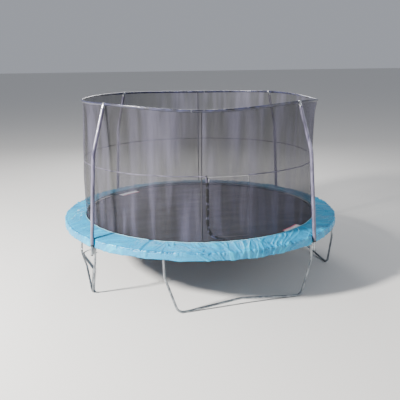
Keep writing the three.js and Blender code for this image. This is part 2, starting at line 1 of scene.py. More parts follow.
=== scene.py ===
# %% [markdown]
# # A garden trampoline with a safety net
# A round steel frame stands on four bent tube legs. A woven mat hangs inside it on springs, a padded
# cover hides the springs, and a net hangs from a ring that four foam-covered poles hold up.
# The model is built from the outside of each real part inwards: tubes as curves with a round bevel,
# fabric as grids of points worked out from the real sheet's shape, small fittings with bmesh.

import math

import bmesh
import bpy
from mathutils import Matrix, Vector, noise


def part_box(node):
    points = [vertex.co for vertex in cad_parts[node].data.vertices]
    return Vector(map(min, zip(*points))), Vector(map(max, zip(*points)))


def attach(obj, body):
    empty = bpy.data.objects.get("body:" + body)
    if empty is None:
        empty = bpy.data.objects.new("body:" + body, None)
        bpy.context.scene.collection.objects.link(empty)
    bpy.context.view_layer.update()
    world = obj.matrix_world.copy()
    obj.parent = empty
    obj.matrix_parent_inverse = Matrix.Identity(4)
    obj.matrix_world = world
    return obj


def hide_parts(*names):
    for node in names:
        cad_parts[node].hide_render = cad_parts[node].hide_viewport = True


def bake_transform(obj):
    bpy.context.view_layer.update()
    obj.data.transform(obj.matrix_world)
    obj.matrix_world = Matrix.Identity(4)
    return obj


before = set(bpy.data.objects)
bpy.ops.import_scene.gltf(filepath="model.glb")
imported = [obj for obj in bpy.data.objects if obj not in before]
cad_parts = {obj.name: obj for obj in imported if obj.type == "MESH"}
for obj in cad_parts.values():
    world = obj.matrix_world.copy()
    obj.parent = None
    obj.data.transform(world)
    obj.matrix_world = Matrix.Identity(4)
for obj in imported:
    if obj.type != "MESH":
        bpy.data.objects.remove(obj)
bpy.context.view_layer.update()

# %% [markdown]
# ## Sizes
# Everything is in metres. An angle is measured round the trampoline from the front, where the door
# is, towards its right. The same sizes drive every piece, so that the net meets the ring and the mat.

# %% Sizes
TURN = 2 * math.pi
FRAME_RADIUS = 2.100
RAIL_HEIGHT = 0.820
RAIL_TUBE = 0.019
LEG_COUNT = 4
RAIL_SECTIONS = 8

LEG_TUBE = 0.016
LEG_HALF_ANGLE = math.radians(30)
LEG_SPLAY = math.radians(4.5)
LEG_HALF_CHORD = FRAME_RADIUS * math.sin(LEG_HALF_ANGLE)
POST_JOINT_HEIGHT = 0.550
KNEE_HEIGHT = 0.515
FOOT_AXIS_HEIGHT = 0.01478
FOOT_OUTWARD = (RAIL_HEIGHT - FOOT_AXIS_HEIGHT) * math.tan(LEG_SPLAY)
FOOT_DISTANCE = FRAME_RADIUS * math.cos(LEG_HALF_ANGLE) + FOOT_OUTWARD
SWAGE_STEP = 0.0018

POLE_LEAN = math.radians(5)
POLE_RADIAL_AT_RAIL = 2.150
POLE_FOOT_HEIGHT = 0.640
POLE_JOINT_HEIGHT = 1.500
POLE_BEND_HEIGHT = 2.020
POLE_BEND_RADIUS = 0.500
SLEEVE_FOOT_HEIGHT = 0.788
SLEEVE_RADIUS = 0.026
BOLT_HEIGHTS = (0.742, 0.670)

RING_RADIUS = 1.831
RING_HEIGHT = 2.662
RING_TUBE = 0.0095
RING_SLEEVE = 0.0122
RING_SAGS = (0.062, 0.050, 0.015, 0.008)
RING_DENTS = (0.030, 0.035, 0.030, 0.056)
NET_BELLIES = (0.022, 0.050, 0.026, -0.010)

NET_RADIUS = 1.8115
NET_FOOT = 0.930
NET_LOWEST = 0.862
NET_SEAM_HEIGHT = 1.760
NET_SEAM_ANGLE = math.radians(-16.3)
DOOR_LEFT = math.radians(-14)
DOOR_RIGHT = math.radians(3.5)
DOOR_SILL = 0.953
DOOR_HEAD = 1.760
DOOR_GAP = 0.006
CORNER_WIDTH = 0.130
CORNER_HEIGHT = 0.200

MAT_RADIUS = 1.870
MAT_TOP = 0.848
SPRING_COUNT = 88

PAD_SEAM_ANGLE = math.radians(52) + math.pi / 2

print("frame", 2 * FRAME_RADIUS, "m across, net top at", RING_HEIGHT)


# %% [markdown]
# ## Shapes used again and again
# A tube could be a cylinder for each straight and a torus for each bend, but the joins between them
# show. A curve with a round bevel carries one section along the whole line, bends included.
# A sheet is a grid of points with one function that says where each point goes.

# %% Helpers for shapes
def polar(angle, radius, z):
    return Vector((radius * math.sin(angle), -radius * math.cos(angle), z))


def smooth(start, end, x):
    share = min(max((x - start) / (end - start), 0), 1)
    return share * share * (3 - 2 * share)


def steps(start, end, count):
    return [start + (end - start) * i / count for i in range(count + 1)]


def turned(points, angle):
    matrix = Matrix.Rotation(angle, 3, "Z")
    return [matrix @ point for point in points]


def show(name, data, paint, body="frame", nodes=()):
    """A piece on a body of the frame. It stands for the frame's own nodes."""
    data.name = name
    piece = bpy.data.objects.new(name, data)
    bpy.context.scene.collection.objects.link(piece)
    data.materials.append(paint)
    if body:
        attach(piece, body)
    if nodes:
        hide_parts(*nodes)
    "slot" in paint
    return piece


def tube_curve(lines, closed=False, sides=5):
    """Round tubes. Each line is a list of (point, radius)."""
    curve = bpy.data.curves.new("tube", "CURVE")
    curve.dimensions = "3D"
    curve.bevel_depth = 1
    curve.bevel_resolution = sides
    curve.use_fill_caps = not closed
    for line in lines:
        spline = curve.splines.new("POLY")
        spline.points.add(len(line) - 1)
        spline.use_cyclic_u = closed
        for target, (point, radius) in zip(spline.points, line):
            target.co = (*point, 1)
            target.radius = radius
    return curve


def even(points, radius):
    return [(point, radius) for point in points]


def bent_line(corners, turn_step=math.radians(4)):
    """The points of a bent tube: its corners, each (point, bend radius)."""
    points = [corners[0][0]]
    for before, (corner, radius), after in zip(corners, corners[1:], corners[2:]):
        back = (before[0] - corner).normalized()
        ahead = (after[0] - corner).normalized()
        bend = math.pi - back.angle(ahead)
        centre = corner + (back + ahead).normalized() * radius / math.cos(bend / 2)
        start = corner + back * radius * math.tan(bend / 2) - centre
        axis = start.cross(ahead).normalized()
        count = max(2, math.ceil(bend / turn_step))
        for i in range(count + 1):
            points.append(Matrix.Rotation(bend * i / count, 3, axis) @ start + centre)
    points.append(corners[-1][0])
    return points


def grid_mesh(rows, columns, place, closed_rows=False, closed_columns=False, flip=False):
    """A sheet of quads. place(i, j) gives a point and, for its UV map, its two lengths in metres."""
    cells = [[place(i, j) for j in range(columns)] for i in range(rows)]
    points = [cell[0] for row in cells for cell in row]
    last_row = rows if closed_rows else rows - 1
    last_column = columns if closed_columns else columns - 1
    faces, uvs = [], []
    for i in range(last_row):
        for j in range(last_column):
            corners = [(i, j), (i, j + 1), (i + 1, j + 1), (i + 1, j)]
            if flip:
                corners.reverse()
            faces.append([(a % rows) * columns + b % columns for a, b in corners])
            uvs.extend(cells[a % rows][b % columns][1] for a, b in corners)
    mesh = bpy.data.meshes.new("mesh")
    mesh.from_pydata(points, [], faces)
    layer = mesh.uv_layers.new(name="UVMap")
    layer.data.foreach_set("uv", [x for uv in uvs for x in uv])
    mesh.polygons.foreach_set("use_smooth", [True] * len(faces))
    mesh.update()
    return mesh


def joined(meshes, distance=1e-5):
    """One mesh from several, with the points that meet merged."""
    bm = bmesh.new()
    for mesh in meshes:
        bm.from_mesh(mesh)
        bpy.data.meshes.remove(mesh)
    bmesh.ops.remove_doubles(bm, verts=bm.verts, dist=distance)
    whole = bpy.data.meshes.new("mesh")
    bm.to_mesh(whole)
    bm.free()
    return whole


def outward(mesh, close=False):
    """The same mesh with its faces turned outwards, after its open ends are closed if asked."""
    bm = bmesh.new()
    bm.from_mesh(mesh)
    if close:
        bmesh.ops.holes_fill(bm, edges=[e for e in bm.edges if e.is_boundary], sides=0)
    bmesh.ops.recalc_face_normals(bm, faces=bm.faces)
    bm.to_mesh(mesh)
    bm.free()
    return mesh


def block_mesh(blocks, bevel=0.0, segments=2):
    """Blocks with rounded edges. Each block is a matrix from a cube one metre across."""
    bm = bmesh.new()
    for matrix in blocks:
        bmesh.ops.create_cube(bm, size=1, matrix=matrix)
    if bevel:
        bmesh.ops.bevel(
            bm, geom=bm.edges[:], offset=bevel, segments=segments, profile=0.5, affect="EDGES", material=-1
        )
    mesh = bpy.data.meshes.new("mesh")
    bm.to_mesh(mesh)
    bm.free()
    return mesh


def lathe_mesh(profile, turns, sides=32):
    """A turned piece: profile is (radius, length along the axis), turns the matrices that place it."""
    bm = bmesh.new()
    for matrix in turns:
        line = [bm.verts.new((radius, 0, length)) for radius, length in profile]
        edges = [bm.edges.new(pair) for pair in zip(line, line[1:])]
        bmesh.ops.spin(
            bm, geom=line + edges, cent=(0, 0, 0), axis=(0, 0, 1), angle=TURN, steps=sides, use_merge=True
        )
        fresh = [v for v in bm.verts if not v.tag]
        bmesh.ops.transform(bm, matrix=matrix, verts=fresh)
        for v in fresh:
            v.tag = True
    bmesh.ops.remove_doubles(bm, verts=bm.verts, dist=1e-6)
    bmesh.ops.recalc_face_normals(bm, faces=bm.faces)
    mesh = bpy.data.meshes.new("mesh")
    bm.to_mesh(mesh)
    bm.free()
    return mesh


def standing(start, direction, across=(0, 0, 1)):
    """A matrix with Z along direction from start, and Y as near across as it can be."""
    z = Vector(direction).normalized()
    x = Vector(across).cross(z).normalized()
    y = z.cross(x)
    return Matrix.Translation(start) @ Matrix((x, y, z)).transposed().to_4x4()


def size_matrix(x, y, z):
    return Matrix.Diagonal((x, y, z, 1))


print("shape helpers ready")


# %% [markdown]
# ## Shader maths
# A node tree can be wired by hand, link by link, but a sum is easier to read as a sum. One class wraps
# a socket and gives it the usual operators. Its node method adds any other kind of node, and a few
# short methods name the kinds that are used most.

# %% Shader helper
class Signal:
    """A value in a material: a socket, with the operators that join it to others."""

    def __init__(self, tree, socket=None):
        self.tree = tree
        self.socket = socket

    def node(self, kind, settings=None, values=None, output=0):
        node = self.tree.nodes.new(kind)
        for name, setting in (settings or {}).items():
            setattr(node, name, setting)
        for name, value in (values or {}).items():
            if isinstance(value, Signal):
                self.tree.links.new(value.socket, node.inputs[name])
            else:
                node.inputs[name].default_value = value
        return Signal(self.tree, node.outputs[output])

    def maths(self, operation, *values):
        return self.node("ShaderNodeMath", {"operation": operation}, dict(enumerate(values)))

    def __add__(self, other):
        return self.maths("ADD", self, other)

    def __sub__(self, other):
        return self.maths("SUBTRACT", self, other)

    def __mul__(self, other):
        return self.maths("MULTIPLY", self, other)

    def __rsub__(self, other):
        return self.maths("SUBTRACT", other, self)

    __radd__ = __add__
    __rmul__ = __mul__

    def between(self, low, high, at_low=0.0, at_high=1.0):
        limits = {"Value": self, "From Min": low, "From Max": high, "To Min": at_low, "To Max": at_high}
        return self.node("ShaderNodeMapRange", {"interpolation_type": "SMOOTHSTEP"}, limits)

    def wave(self, pitch):
        """A sine wave from -1 to 1 that repeats at pitch."""
        return self.maths("SINE", self * (TURN / pitch))

    def noise(self, scale, detail=2.0, roughness=0.5):
        values = {"Vector": self, "Scale": scale, "Detail": detail, "Roughness": roughness}
        return self.node("ShaderNodeTexNoise", None, values)

    def stretched(self, x, y, z):
        values = {"Vector": self, "Scale": (x, y, z)}
        return self.node("ShaderNodeMapping", None, values, output="Vector")

    def parts(self):
        node = self.node("ShaderNodeSeparateXYZ", None, {"Vector": self}).socket.node
        return [Signal(self.tree, output) for output in node.outputs]

    def mixed(self, first, second):
        """A colour from first to second as this value goes from 0 to 1."""
        values = {"Factor": self, 6: first, 7: second}
        return self.node("ShaderNodeMix", {"data_type": "RGBA"}, values, output=2)

    def bump(self, strength, distance):
        return self.node("ShaderNodeBump", None, {"Height": self, "Strength": strength, "Distance": distance})


def material(name, colour, roughness, slot=None, metallic=0.0, **constants):
    """A new material, with its principled shader and the object's own coordinates and UV map."""
    made = bpy.data.materials.new(name)
    made.use_nodes = True
    if slot:
        made["slot"] = slot
    shader = made.node_tree.nodes["Principled BSDF"]
    shader.inputs["Base Color"].default_value = colour
    shader.inputs["Roughness"].default_value = roughness
    shader.inputs["Metallic"].default_value = metallic
    for key, value in constants.items():
        shader.inputs[key.replace("_", " ")].default_value = value
    tree = Signal(made.node_tree)
    place = tree.node("ShaderNodeTexCoord", None, None, output="Object")
    flat = tree.node("ShaderNodeTexCoord", None, None, output="UV")
    return made, shader, place, flat


def feed(shader, **signals):
    for name, signal in signals.items():
        signal.tree.links.new(signal.socket, shader.inputs[name.replace("_", " ")])


def rgb(red, green, blue):
    """A colour given as it looks on a screen, 0 to 255, as the linear light that a shader needs."""
    def linear(x):
        x = x / 255
        return x / 12.92 if x <= 0.04045 else ((x + 0.055) / 1.055) ** 2.4
    return (linear(red), linear(green), linear(blue), 1.0)


# %% [markdown]
# ## Materials
# Galvanised steel has dull patches and a faint spangle. Foam sleeves are wrapped in shiny film. The
# pad is coated fabric with a soft shine; it is painted paler where it stands proud and darker in its
# hollows, a painted highlight and painted shade. The net is painted in lighter and darker upright
# streaks, a painted light and shade of its folds. Net and mat are made of threads,
# so their pattern is drawn along the cloth's own width and height.

# %% Metal materials
galvanised, shader, place, _ = material("galvanised_steel", rgb(146, 152, 156), 0.32, "galvanised_steel", 0.9)
patches = place.noise(9.0, 4.0, 0.6)
spangle = place.noise(160.0, 1.0)
feed(
    shader,
    Base_Color=patches.between(0.35, 0.7).mixed(rgb(112, 118, 124), rgb(172, 178, 182)),
    Roughness=(patches * 0.22 + spangle * 0.10 + 0.16),
    Normal=(spangle * 0.5 + place.noise(30.0)).bump(0.12, 0.001),
)

zinc, shader, place, _ = material("zinc_fastener", rgb(196, 198, 202), 0.3, "zinc_fastener", 0.95)
feed(shader, Roughness=place.noise(60.0, 3.0).between(0.3, 0.7, 0.22, 0.42))

spring_wire, shader, place, _ = material("spring_steel", rgb(170, 173, 178), 0.33, "spring_steel", 0.95)
feed(shader, Roughness=place.noise(25.0, 3.0).between(0.3, 0.7, 0.24, 0.5))
print("metals:", galvanised.name, zinc.name, spring_wire.name)

# %% Plastic and foam materials
foam, shader, place, _ = material(
    "foam_sleeve", rgb(84, 81, 101), 0.26, "foam_sleeve", Coat_Weight=0.9, Coat_Roughness=0.14
)
along = place.stretched(1, 1, 0.25).noise(24.0, 3.0)
feed(
    shader,
    Base_Color=along.between(0.3, 0.7).mixed(rgb(66, 63, 84), rgb(108, 104, 126)),
    Roughness=along.between(0.3, 0.7, 0.24, 0.42),
    Normal=(along + place.noise(90.0) * 0.25).bump(0.35, 0.004),
)

plastic, shader, place, _ = material("black_plastic", rgb(28, 28, 31), 0.42)
feed(shader, Normal=place.noise(400.0).bump(0.15, 0.0004))
print("plastics:", foam.name, plastic.name)

# %% Fabric materials
net_black, shader, place, flat = material("net_mesh", rgb(46, 45, 54), 0.75, "net_mesh")
across, height, _ = flat.parts()
# The folds noise paints the net lighter and darker in upright streaks, a painted light and shade of its
# folds. It also varies the net's density.
folds = flat.stretched(5, 0.6, 1).noise(1.0, 4.0, 0.5)
threads = across.wave(0.006) * height.wave(0.006)
feed(
    shader,
    Base_Color=folds.between(0.36, 0.72).mixed(rgb(14, 13, 18), rgb(70, 68, 86)),
    Alpha=folds.between(0.3, 0.72, 0.54, 0.66) + threads * 0.08,
)

seam_cloth, shader, place, _ = material("seam_cloth", rgb(104, 101, 118), 0.6, "net_mesh")
feed(shader, Base_Color=place.noise(9.0).between(0.3, 0.7).mixed(rgb(52, 50, 64), rgb(98, 94, 112)))

mat_black, shader, place, flat = material("mat_weave", rgb(60, 59, 71), 0.7, "mat_weave")
east, north, _ = place.parts()
threads = east.wave(0.004) * 0.5 + north.wave(0.004) * 0.5
streaks = place.stretched(1.0, 3.0, 1).noise(1.2, 4.0, 0.5)
scuffs = place.noise(5.0, 6.0, 0.7)
feed(
    shader,
    Base_Color=(streaks * 0.6 + scuffs * 0.4).between(0.38, 0.66).mixed(rgb(50, 49, 60), rgb(74, 72, 86)),
    Roughness=scuffs.between(0.3, 0.7, 0.55, 0.8),
    Normal=threads.bump(0.25, 0.0006),
)

webbing, shader, place, _ = material("webbing", rgb(38, 37, 44), 0.7, "mat_weave")
feed(shader, Normal=place.noise(700.0).bump(0.4, 0.0006))

zip_cloth, shader, place, _ = material("zip_cloth", rgb(10, 10, 14), 0.7, "net_mesh")
# The lighter spots on the black tape are painted glints, the zip's coil catching the light.
feed(shader, Base_Color=place.noise(16.0).between(0.52, 0.60).mixed(rgb(6, 6, 9), rgb(72, 70, 90)))

ring_cloth, shader, place, _ = material(
    "ring_cloth", rgb(24, 25, 42), 0.3, "net_mesh", Coat_Weight=0.5, Coat_Roughness=0.2
)
feed(
    shader,
    Base_Color=place.noise(14.0, 3.0).between(0.3, 0.7).mixed(rgb(14, 14, 26), rgb(52, 54, 84)),
    Normal=(place.noise(120.0, 2.0) + place.noise(500.0) * 0.2).bump(0.5, 0.002),
)
print("fabrics:", net_black.name, mat_black.name, webbing.name, ring_cloth.name)

# %% Pad materials
def vinyl(name, hollow_shade, colour, light):
    """Coated fabric. Its mesh says in an attribute how far it stands proud: there it is painted paler, a
    painted highlight, and in its hollows darker, painted shade, with dust mixed in.
    """
    made, shader, place, flat = material(name, colour, 0.3, "pad_vinyl", Coat_Weight=0.2, Coat_Roughness=0.12)
    relief_shade = place.node("ShaderNodeAttribute", {"attribute_name": "relief_shade"}, None, output="Fac")
    crinkle = flat.stretched(1.0, 0.7, 1).noise(30.0, 4.0, 0.6)
    dust = flat.noise(4.0, 5.0, 0.65)
    # Painted light and shade: paler where the fabric stands proud, darker in its hollows, with dust and
    # crinkles mixed in.
    shade_and_dust = relief_shade + (dust - 0.5) * 0.4 + (crinkle - 0.5) * 0.2
    feed(
        shader,
        Base_Color=shade_and_dust.between(0.50, 0.95).mixed(shade_and_dust.between(0.10, 0.50).mixed(hollow_shade, colour), light),
        Roughness=dust.between(0.3, 0.7, 0.24, 0.42),
        Normal=(crinkle + flat.noise(900.0, 1.0) * 0.05).bump(0.8, 0.010),
    )
    return made


# Colours for the hollows, the plain fabric and the proud parts: painted shade, the pad's own blue, painted
# highlight.
pad_blue = vinyl("pad_vinyl", rgb(0, 98, 140), rgb(0, 138, 184), rgb(0, 172, 210))
# The piping's pale colours are a painted highlight along the pad's lit inner edge.
piping_blue = vinyl("pad_piping", rgb(150, 214, 232), rgb(190, 234, 244), rgb(224, 246, 252))
patch_white, shader, _, flat = material("patch_cloth", rgb(246, 244, 252), 0.6)
_, width, _ = flat.parts()
feed(shader, Base_Color=width.between(0.020, 0.030).mixed(rgb(240, 120, 146), rgb(250, 249, 255)))
print("pad:", pad_blue.name, piping_blue.name, patch_white.name)

# %% [markdown]
# ## Frame rail
# The rail is eight bent tubes. One end of each is squeezed narrower and slides into the next, so a
# thin step shows at each joint. A short socket under the rail takes each leg post.
# A torus would be quicker, but it would have no joints.

# %% Rail
def post_point(side, height):
    outward = (RAIL_HEIGHT - height) * math.tan(LEG_SPLAY)
    return Vector((side * LEG_HALF_CHORD, -(FRAME_RADIUS * math.cos(LEG_HALF_ANGLE) + outward), height))


leg_up = Vector((0, math.sin(LEG_SPLAY), math.cos(LEG_SPLAY)))
section = TURN / RAIL_SECTIONS
for index in range(RAIL_SECTIONS):
    start = index * section
    body_line = [polar(a, FRAME_RADIUS, RAIL_HEIGHT) for a in steps(start, start + section - 0.0006, 24)]
    throat = [polar(start + section + d, FRAME_RADIUS, RAIL_HEIGHT) for d in steps(-0.012, 0.012, 4)]
    side, leg_angle = (-1, start + section) if index % 2 else (1, start)
    top = post_point(side, RAIL_HEIGHT)
    socket = turned([top, top - leg_up * 0.0307], leg_angle)
    lip = turned([top - leg_up * 0.0270, top - leg_up * 0.0307], leg_angle)
    lines = [even(body_line, RAIL_TUBE), even(throat, RAIL_TUBE - SWAGE_STEP)]
    lines += [even(socket, 0.0178), even(lip, 0.0188)]
    name = f"rail_section_{index + 1}"
    show(name + "_tube", tube_curve(lines), galvanised, nodes=[name])
print(RAIL_SECTIONS, "rail sections with sockets")

# %% [markdown]
# ## Legs
# Each leg is one long tube bent four times at its feet and knees, with a rise in the middle, and two
# posts that slide over its ends. It is drawn in its own upright plane, which then leans outwards.

# %% Legs
def leg_plane(x, height):
    lean = Matrix.Rotation(-LEG_SPLAY, 3, "X")
    return lean @ Vector((x, 0, height)) + Vector((0, -FOOT_DISTANCE, FOOT_AXIS_HEIGHT))


def rise(height):
    return (height - FOOT_AXIS_HEIGHT) / math.cos(LEG_SPLAY)


def leg_half(side):
    return [
        (leg_plane(side * LEG_HALF_CHORD, rise(POST_JOINT_HEIGHT)), 0),
        (leg_plane(side * LEG_HALF_CHORD, rise(KNEE_HEIGHT)), 0.100),
        (leg_plane(side * (LEG_HALF_CHORD - 0.165), 0), 0.100),
        (leg_plane(side * (LEG_HALF_CHORD - 0.310), 0), 0.150),
    ]


base_line = bent_line([*leg_half(-1), (leg_plane(0, 0.077), 0.150), *leg_half(1)[::-1]])
for index in range(LEG_COUNT):
    angle = index * TURN / LEG_COUNT
    name = f"leg_base_{index + 1}"
    lines = [even(turned(base_line, angle), LEG_TUBE)]
    for side in (-1, 1):
        joint = post_point(side, POST_JOINT_HEIGHT)
        swaged_end = turned([joint - leg_up * 0.004, joint + leg_up * 0.05], angle)
        lines.append(even(swaged_end, LEG_TUBE - SWAGE_STEP))
    show(name + "_tube", tube_curve(lines, sides=6), galvanised, nodes=[name])
    for side, word in ((-1, "left"), (1, "right")):
        joint = post_point(side, POST_JOINT_HEIGHT)
        top = post_point(side, RAIL_HEIGHT) - leg_up * 0.0310
        post = [even([joint + leg_up * 0.0006, top], LEG_TUBE)]
        post.append(even([joint + leg_up * 0.0006, joint + leg_up * 0.012], LEG_TUBE + 0.0006))
        name = f"leg_post_{index + 1}_{word}"
        post = [even(turned([p for p, _ in line], angle), line[0][1]) for line in post]
        show(name + "_tube", tube_curve(post, sides=6), galvanised, nodes=[name])
print(LEG_COUNT, "leg bases and", 2 * LEG_COUNT, "posts")

# %% [markdown]
# ## Poles
# Each pole is two tubes joined end to end and bent inwards near the top. A foam tube covers it from
# the pad up, with black tape round the foam's foot. Two bolts clamp the pole to a leg post through a
# shaped steel block, and a cap with an eye holds the top ring.

# %% Poles
clamp_height = sum(BOLT_HEIGHTS) / 2
clamp_post = post_point(1, clamp_height)
POLE_ANGLE = math.atan2(clamp_post.x, -clamp_post.y)


def pole_radial(height):
    return POLE_RADIAL_AT_RAIL - (height - RAIL_HEIGHT) * math.tan(POLE_LEAN)


def pole_point(height):
    return polar(POLE_ANGLE, pole_radial(height), height)


pole_up = (pole_point(1) - pole_point(0)).normalized()
ring_point = polar(POLE_ANGLE, RING_RADIUS, RING_HEIGHT)
pole_bend = pole_point(POLE_BEND_HEIGHT)
top_up = (ring_point - pole_bend).normalized()
pole_top = ring_point - top_up * 0.0175
upper_line = bent_line([(pole_point(POLE_JOINT_HEIGHT), 0), (pole_bend, POLE_BEND_RADIUS), (pole_top, 0)])
sleeve_top = pole_top - top_up * 0.0423
sleeve_ends = bent_line([(pole_point(SLEEVE_FOOT_HEIGHT), 0), (pole_bend, POLE_BEND_RADIUS), (sleeve_top, 0)])


def filled(points, spacing):
    """The same line with a point at least every spacing."""
    line = [points[0]]
    for a, b in zip(points, points[1:]):
        count = max(1, math.ceil((b - a).length / spacing))
        line.extend(a.lerp(b, i / count) for i in range(1, count + 1))
    return line


for index in range(LEG_COUNT):
    angle = index * TURN / LEG_COUNT
    number = index + 1
    name = f"pole_lower_{number}"
    foot = pole_point(POLE_FOOT_HEIGHT)
    lower = [even(turned([foot, pole_point(POLE_JOINT_HEIGHT) - pole_up * 0.0004], angle), LEG_TUBE)]
    show(name + "_tube", tube_curve(lower, sides=7), galvanised, nodes=[name])
    name = f"pole_upper_{number}"
    show(name + "_tube", tube_curve([even(turned(upper_line, angle), LEG_TUBE)]), galvanised, nodes=[name])

    plug = even(turned([foot - pole_up * 0.002, foot + pole_up * 0.006], angle), LEG_TUBE + 0.0012)
    tape_ends = [pole_point(SLEEVE_FOOT_HEIGHT - 0.016), pole_point(SLEEVE_FOOT_HEIGHT + 0.004)]
    tape = even(turned(tape_ends, angle), SLEEVE_RADIUS - 0.0035)
    show(f"pole_tape_{number}", tube_curve([plug, tape], sides=7), plastic)

    line = turned(filled(sleeve_ends, 0.012), angle)
    foam_line = []
    for i, point in enumerate(line):
        swell = noise.noise(point * 9) * 0.0011 + noise.noise(point * 40) * 0.0004
        end = min(i, len(line) - 1 - i)
        rounding = 0.004 if end == 0 else 0.0010 if end == 1 else 0
        foam_line.append((point, SLEEVE_RADIUS - 0.0008 + swell - rounding))
    name = f"pole_sleeve_{number}"
    show(name + "_foam", tube_curve([foam_line], sides=9), foam, nodes=[name])
print("poles lean in from", round(pole_radial(POLE_FOOT_HEIGHT), 3), "to", RING_RADIUS)

# %% [markdown]
# ## Pole fittings
# Caps, bolts and nuts are turned pieces: a profile spun round an axis, in six steps where it is a
# hexagon. They could be cylinders joined together, but a profile gives each edge its chamfer.

# %% Pole fittings
bolt_in = (pole_up.cross(polar(POLE_ANGLE, 1, 0))).cross(pole_up).normalized() * -1
cup = [
    (0.0168, 0.0), (0.0192, 0.0), (0.0197, 0.002), (0.0197, 0.036), (0.0190, 0.043), (0.0150, 0.047),
    (0.0, 0.0475), (0.0, 0.040), (0.0168, 0.040), (0.0168, 0.0),
]
eye = [
    (0.0127, 0.0), (0.0165, 0.0), (0.0176, 0.0015), (0.0176, 0.0345), (0.0165, 0.036), (0.0127, 0.036),
    (0.0127, 0.0),
]
tangent = polar(POLE_ANGLE + math.pi / 2, 1, 0)


def boss(radius, start, length, chamfer=0.0008):
    return [
        (0, start), (radius - chamfer, start), (radius, start + chamfer),
        (radius, start + length - chamfer), (radius - chamfer, start + length), (0, start + length),
    ]


for index in range(LEG_COUNT):
    turn = Matrix.Rotation(index * TURN / LEG_COUNT, 4, "Z")
    number = index + 1
    cup_turn = turn @ standing(pole_top - top_up * 0.042, top_up)
    eye_turn = turn @ standing(ring_point - tangent * 0.018, tangent)
    cap = joined([lathe_mesh(cup, [cup_turn]), lathe_mesh(eye, [eye_turn])], distance=1e-7)
    show(f"pole_cap_{number}_moulding", cap, zinc, nodes=[f"pole_cap_{number}"])
    screw_start = pole_top - top_up * 0.022 + polar(POLE_ANGLE, 0.0195, 0)
    screw_turn = turn @ standing(screw_start, polar(POLE_ANGLE, 1, 0))
    show(f"cap_screw_{number}", lathe_mesh(boss(0.0048, 0, 0.003), [screw_turn], 20), zinc)

    for place_word, height in zip(("upper", "lower"), BOLT_HEIGHTS):
        reach = (post_point(1, height) - pole_point(height)).dot(bolt_in) + LEG_TUBE
        bolt_turn = turn @ standing(pole_point(height), bolt_in, across=pole_up)
        name = f"pole_bolt_{number}_{place_word}"
        shank = boss(0.004, -0.017, reach + 0.0306 + 0.017)
        head = boss(0.008, -0.0223, 0.006)
        nut = boss(0.008, reach + 0.0006, 0.006)
        turned_parts = [(shank, 16), (head, 6), (nut, 6)]
        bolt = joined([lathe_mesh(part, [bolt_turn], sides) for part, sides in turned_parts], distance=1e-7)
        show(name + "_steel", bolt, zinc, nodes=[name])

    pole_middle = pole_point(clamp_height)
    reach = (clamp_post - pole_middle).dot(bolt_in)
    block_turn = turn @ standing(pole_middle + bolt_in * reach / 2, pole_up, across=bolt_in)
    block_size = size_matrix(0.026, reach - 0.024, 0.104)
    name = f"pole_spacer_{number}"
    show(name + "_block", block_mesh([block_turn @ block_size], 0.002), galvanised, nodes=[name])
print(2 * LEG_COUNT, "pole bolts,", LEG_COUNT, "caps and", LEG_COUNT, "spacers")

# %% [markdown]
# ## Top ring
# The ring is thin tube in four pieces, held up by the poles and sagging a little between them. It
# runs inside a pocket of cloth sewn along the net's top edge, which rucks up where it is gathered and
# hangs to a seam below the tube. Between the poles the net's weight sags the ring and pulls it in.

# %% Ring
CLOTH_SIDES = 16
CLOTH_GAP = 0.0035
quarter = TURN / LEG_COUNT


def give(angle, amounts):
    """How much of its span's amount applies at angle: none at the poles, all of it midway."""
    turns = (angle - POLE_ANGLE) / quarter + 1
    share = turns - math.floor(turns)
    return amounts[math.floor(turns) % 4] * math.sin(math.pi * share) ** 2


def ring_height(angle):
    return RING_HEIGHT - give(angle, RING_SAGS)


def ring_at(angle, inward=0.0, down=0.0):
    return polar(angle, RING_RADIUS - give(angle, RING_DENTS) - inward, ring_height(angle) - down)


for index in range(LEG_COUNT):
    start = POLE_ANGLE + index * quarter - quarter * 5 / 9
    ring_line = [ring_at(a) for a in steps(start, start + quarter - 0.0004, 90)]
    name = f"top_ring_tube_{index + 1}"
    show(name + "_steel", tube_curve([even(ring_line, RING_TUBE)]), galvanised, nodes=[name])

    cloth_angles = steps(start + CLOTH_GAP, start + quarter - CLOTH_GAP, 560)

    def cloth_place(i, j):
        angle = cloth_angles[i]
        swing = TURN * j / CLOTH_SIDES
        hang = max(-math.cos(swing), 0) ** 3
        ruck = noise.noise(ring_at(angle) * 32) * 0.0011 + noise.noise(ring_at(angle) * 90) * 0.0006
        radius = RING_SLEEVE - 0.0008 + ruck
        width = radius * math.sin(swing) * (1 - 0.75 * hang)
        lift = radius * math.cos(swing) - hang * (0.011 + 0.003 * noise.noise(ring_at(angle) * 11))
        return ring_at(angle, -width, -lift), (angle * RING_RADIUS, radius * swing)

    cloth = grid_mesh(len(cloth_angles), CLOTH_SIDES, cloth_place, closed_columns=True, flip=True)
    show(f"ring_sleeve_{index + 1}", cloth, ring_cloth)
print("ring from", round(ring_height(math.radians(-15)), 3), "to", RING_HEIGHT)

# %% [markdown]
# ## Net
# The net is a long strip of knitted mesh, sewn into two halves, gathered on the ring's sleeve and
# tied to the mat's edge. It falls in soft upright folds, so its radius is a sum of slow and quick
# waves that keep their line from top to bottom and fade out at the sleeve and the level seam.

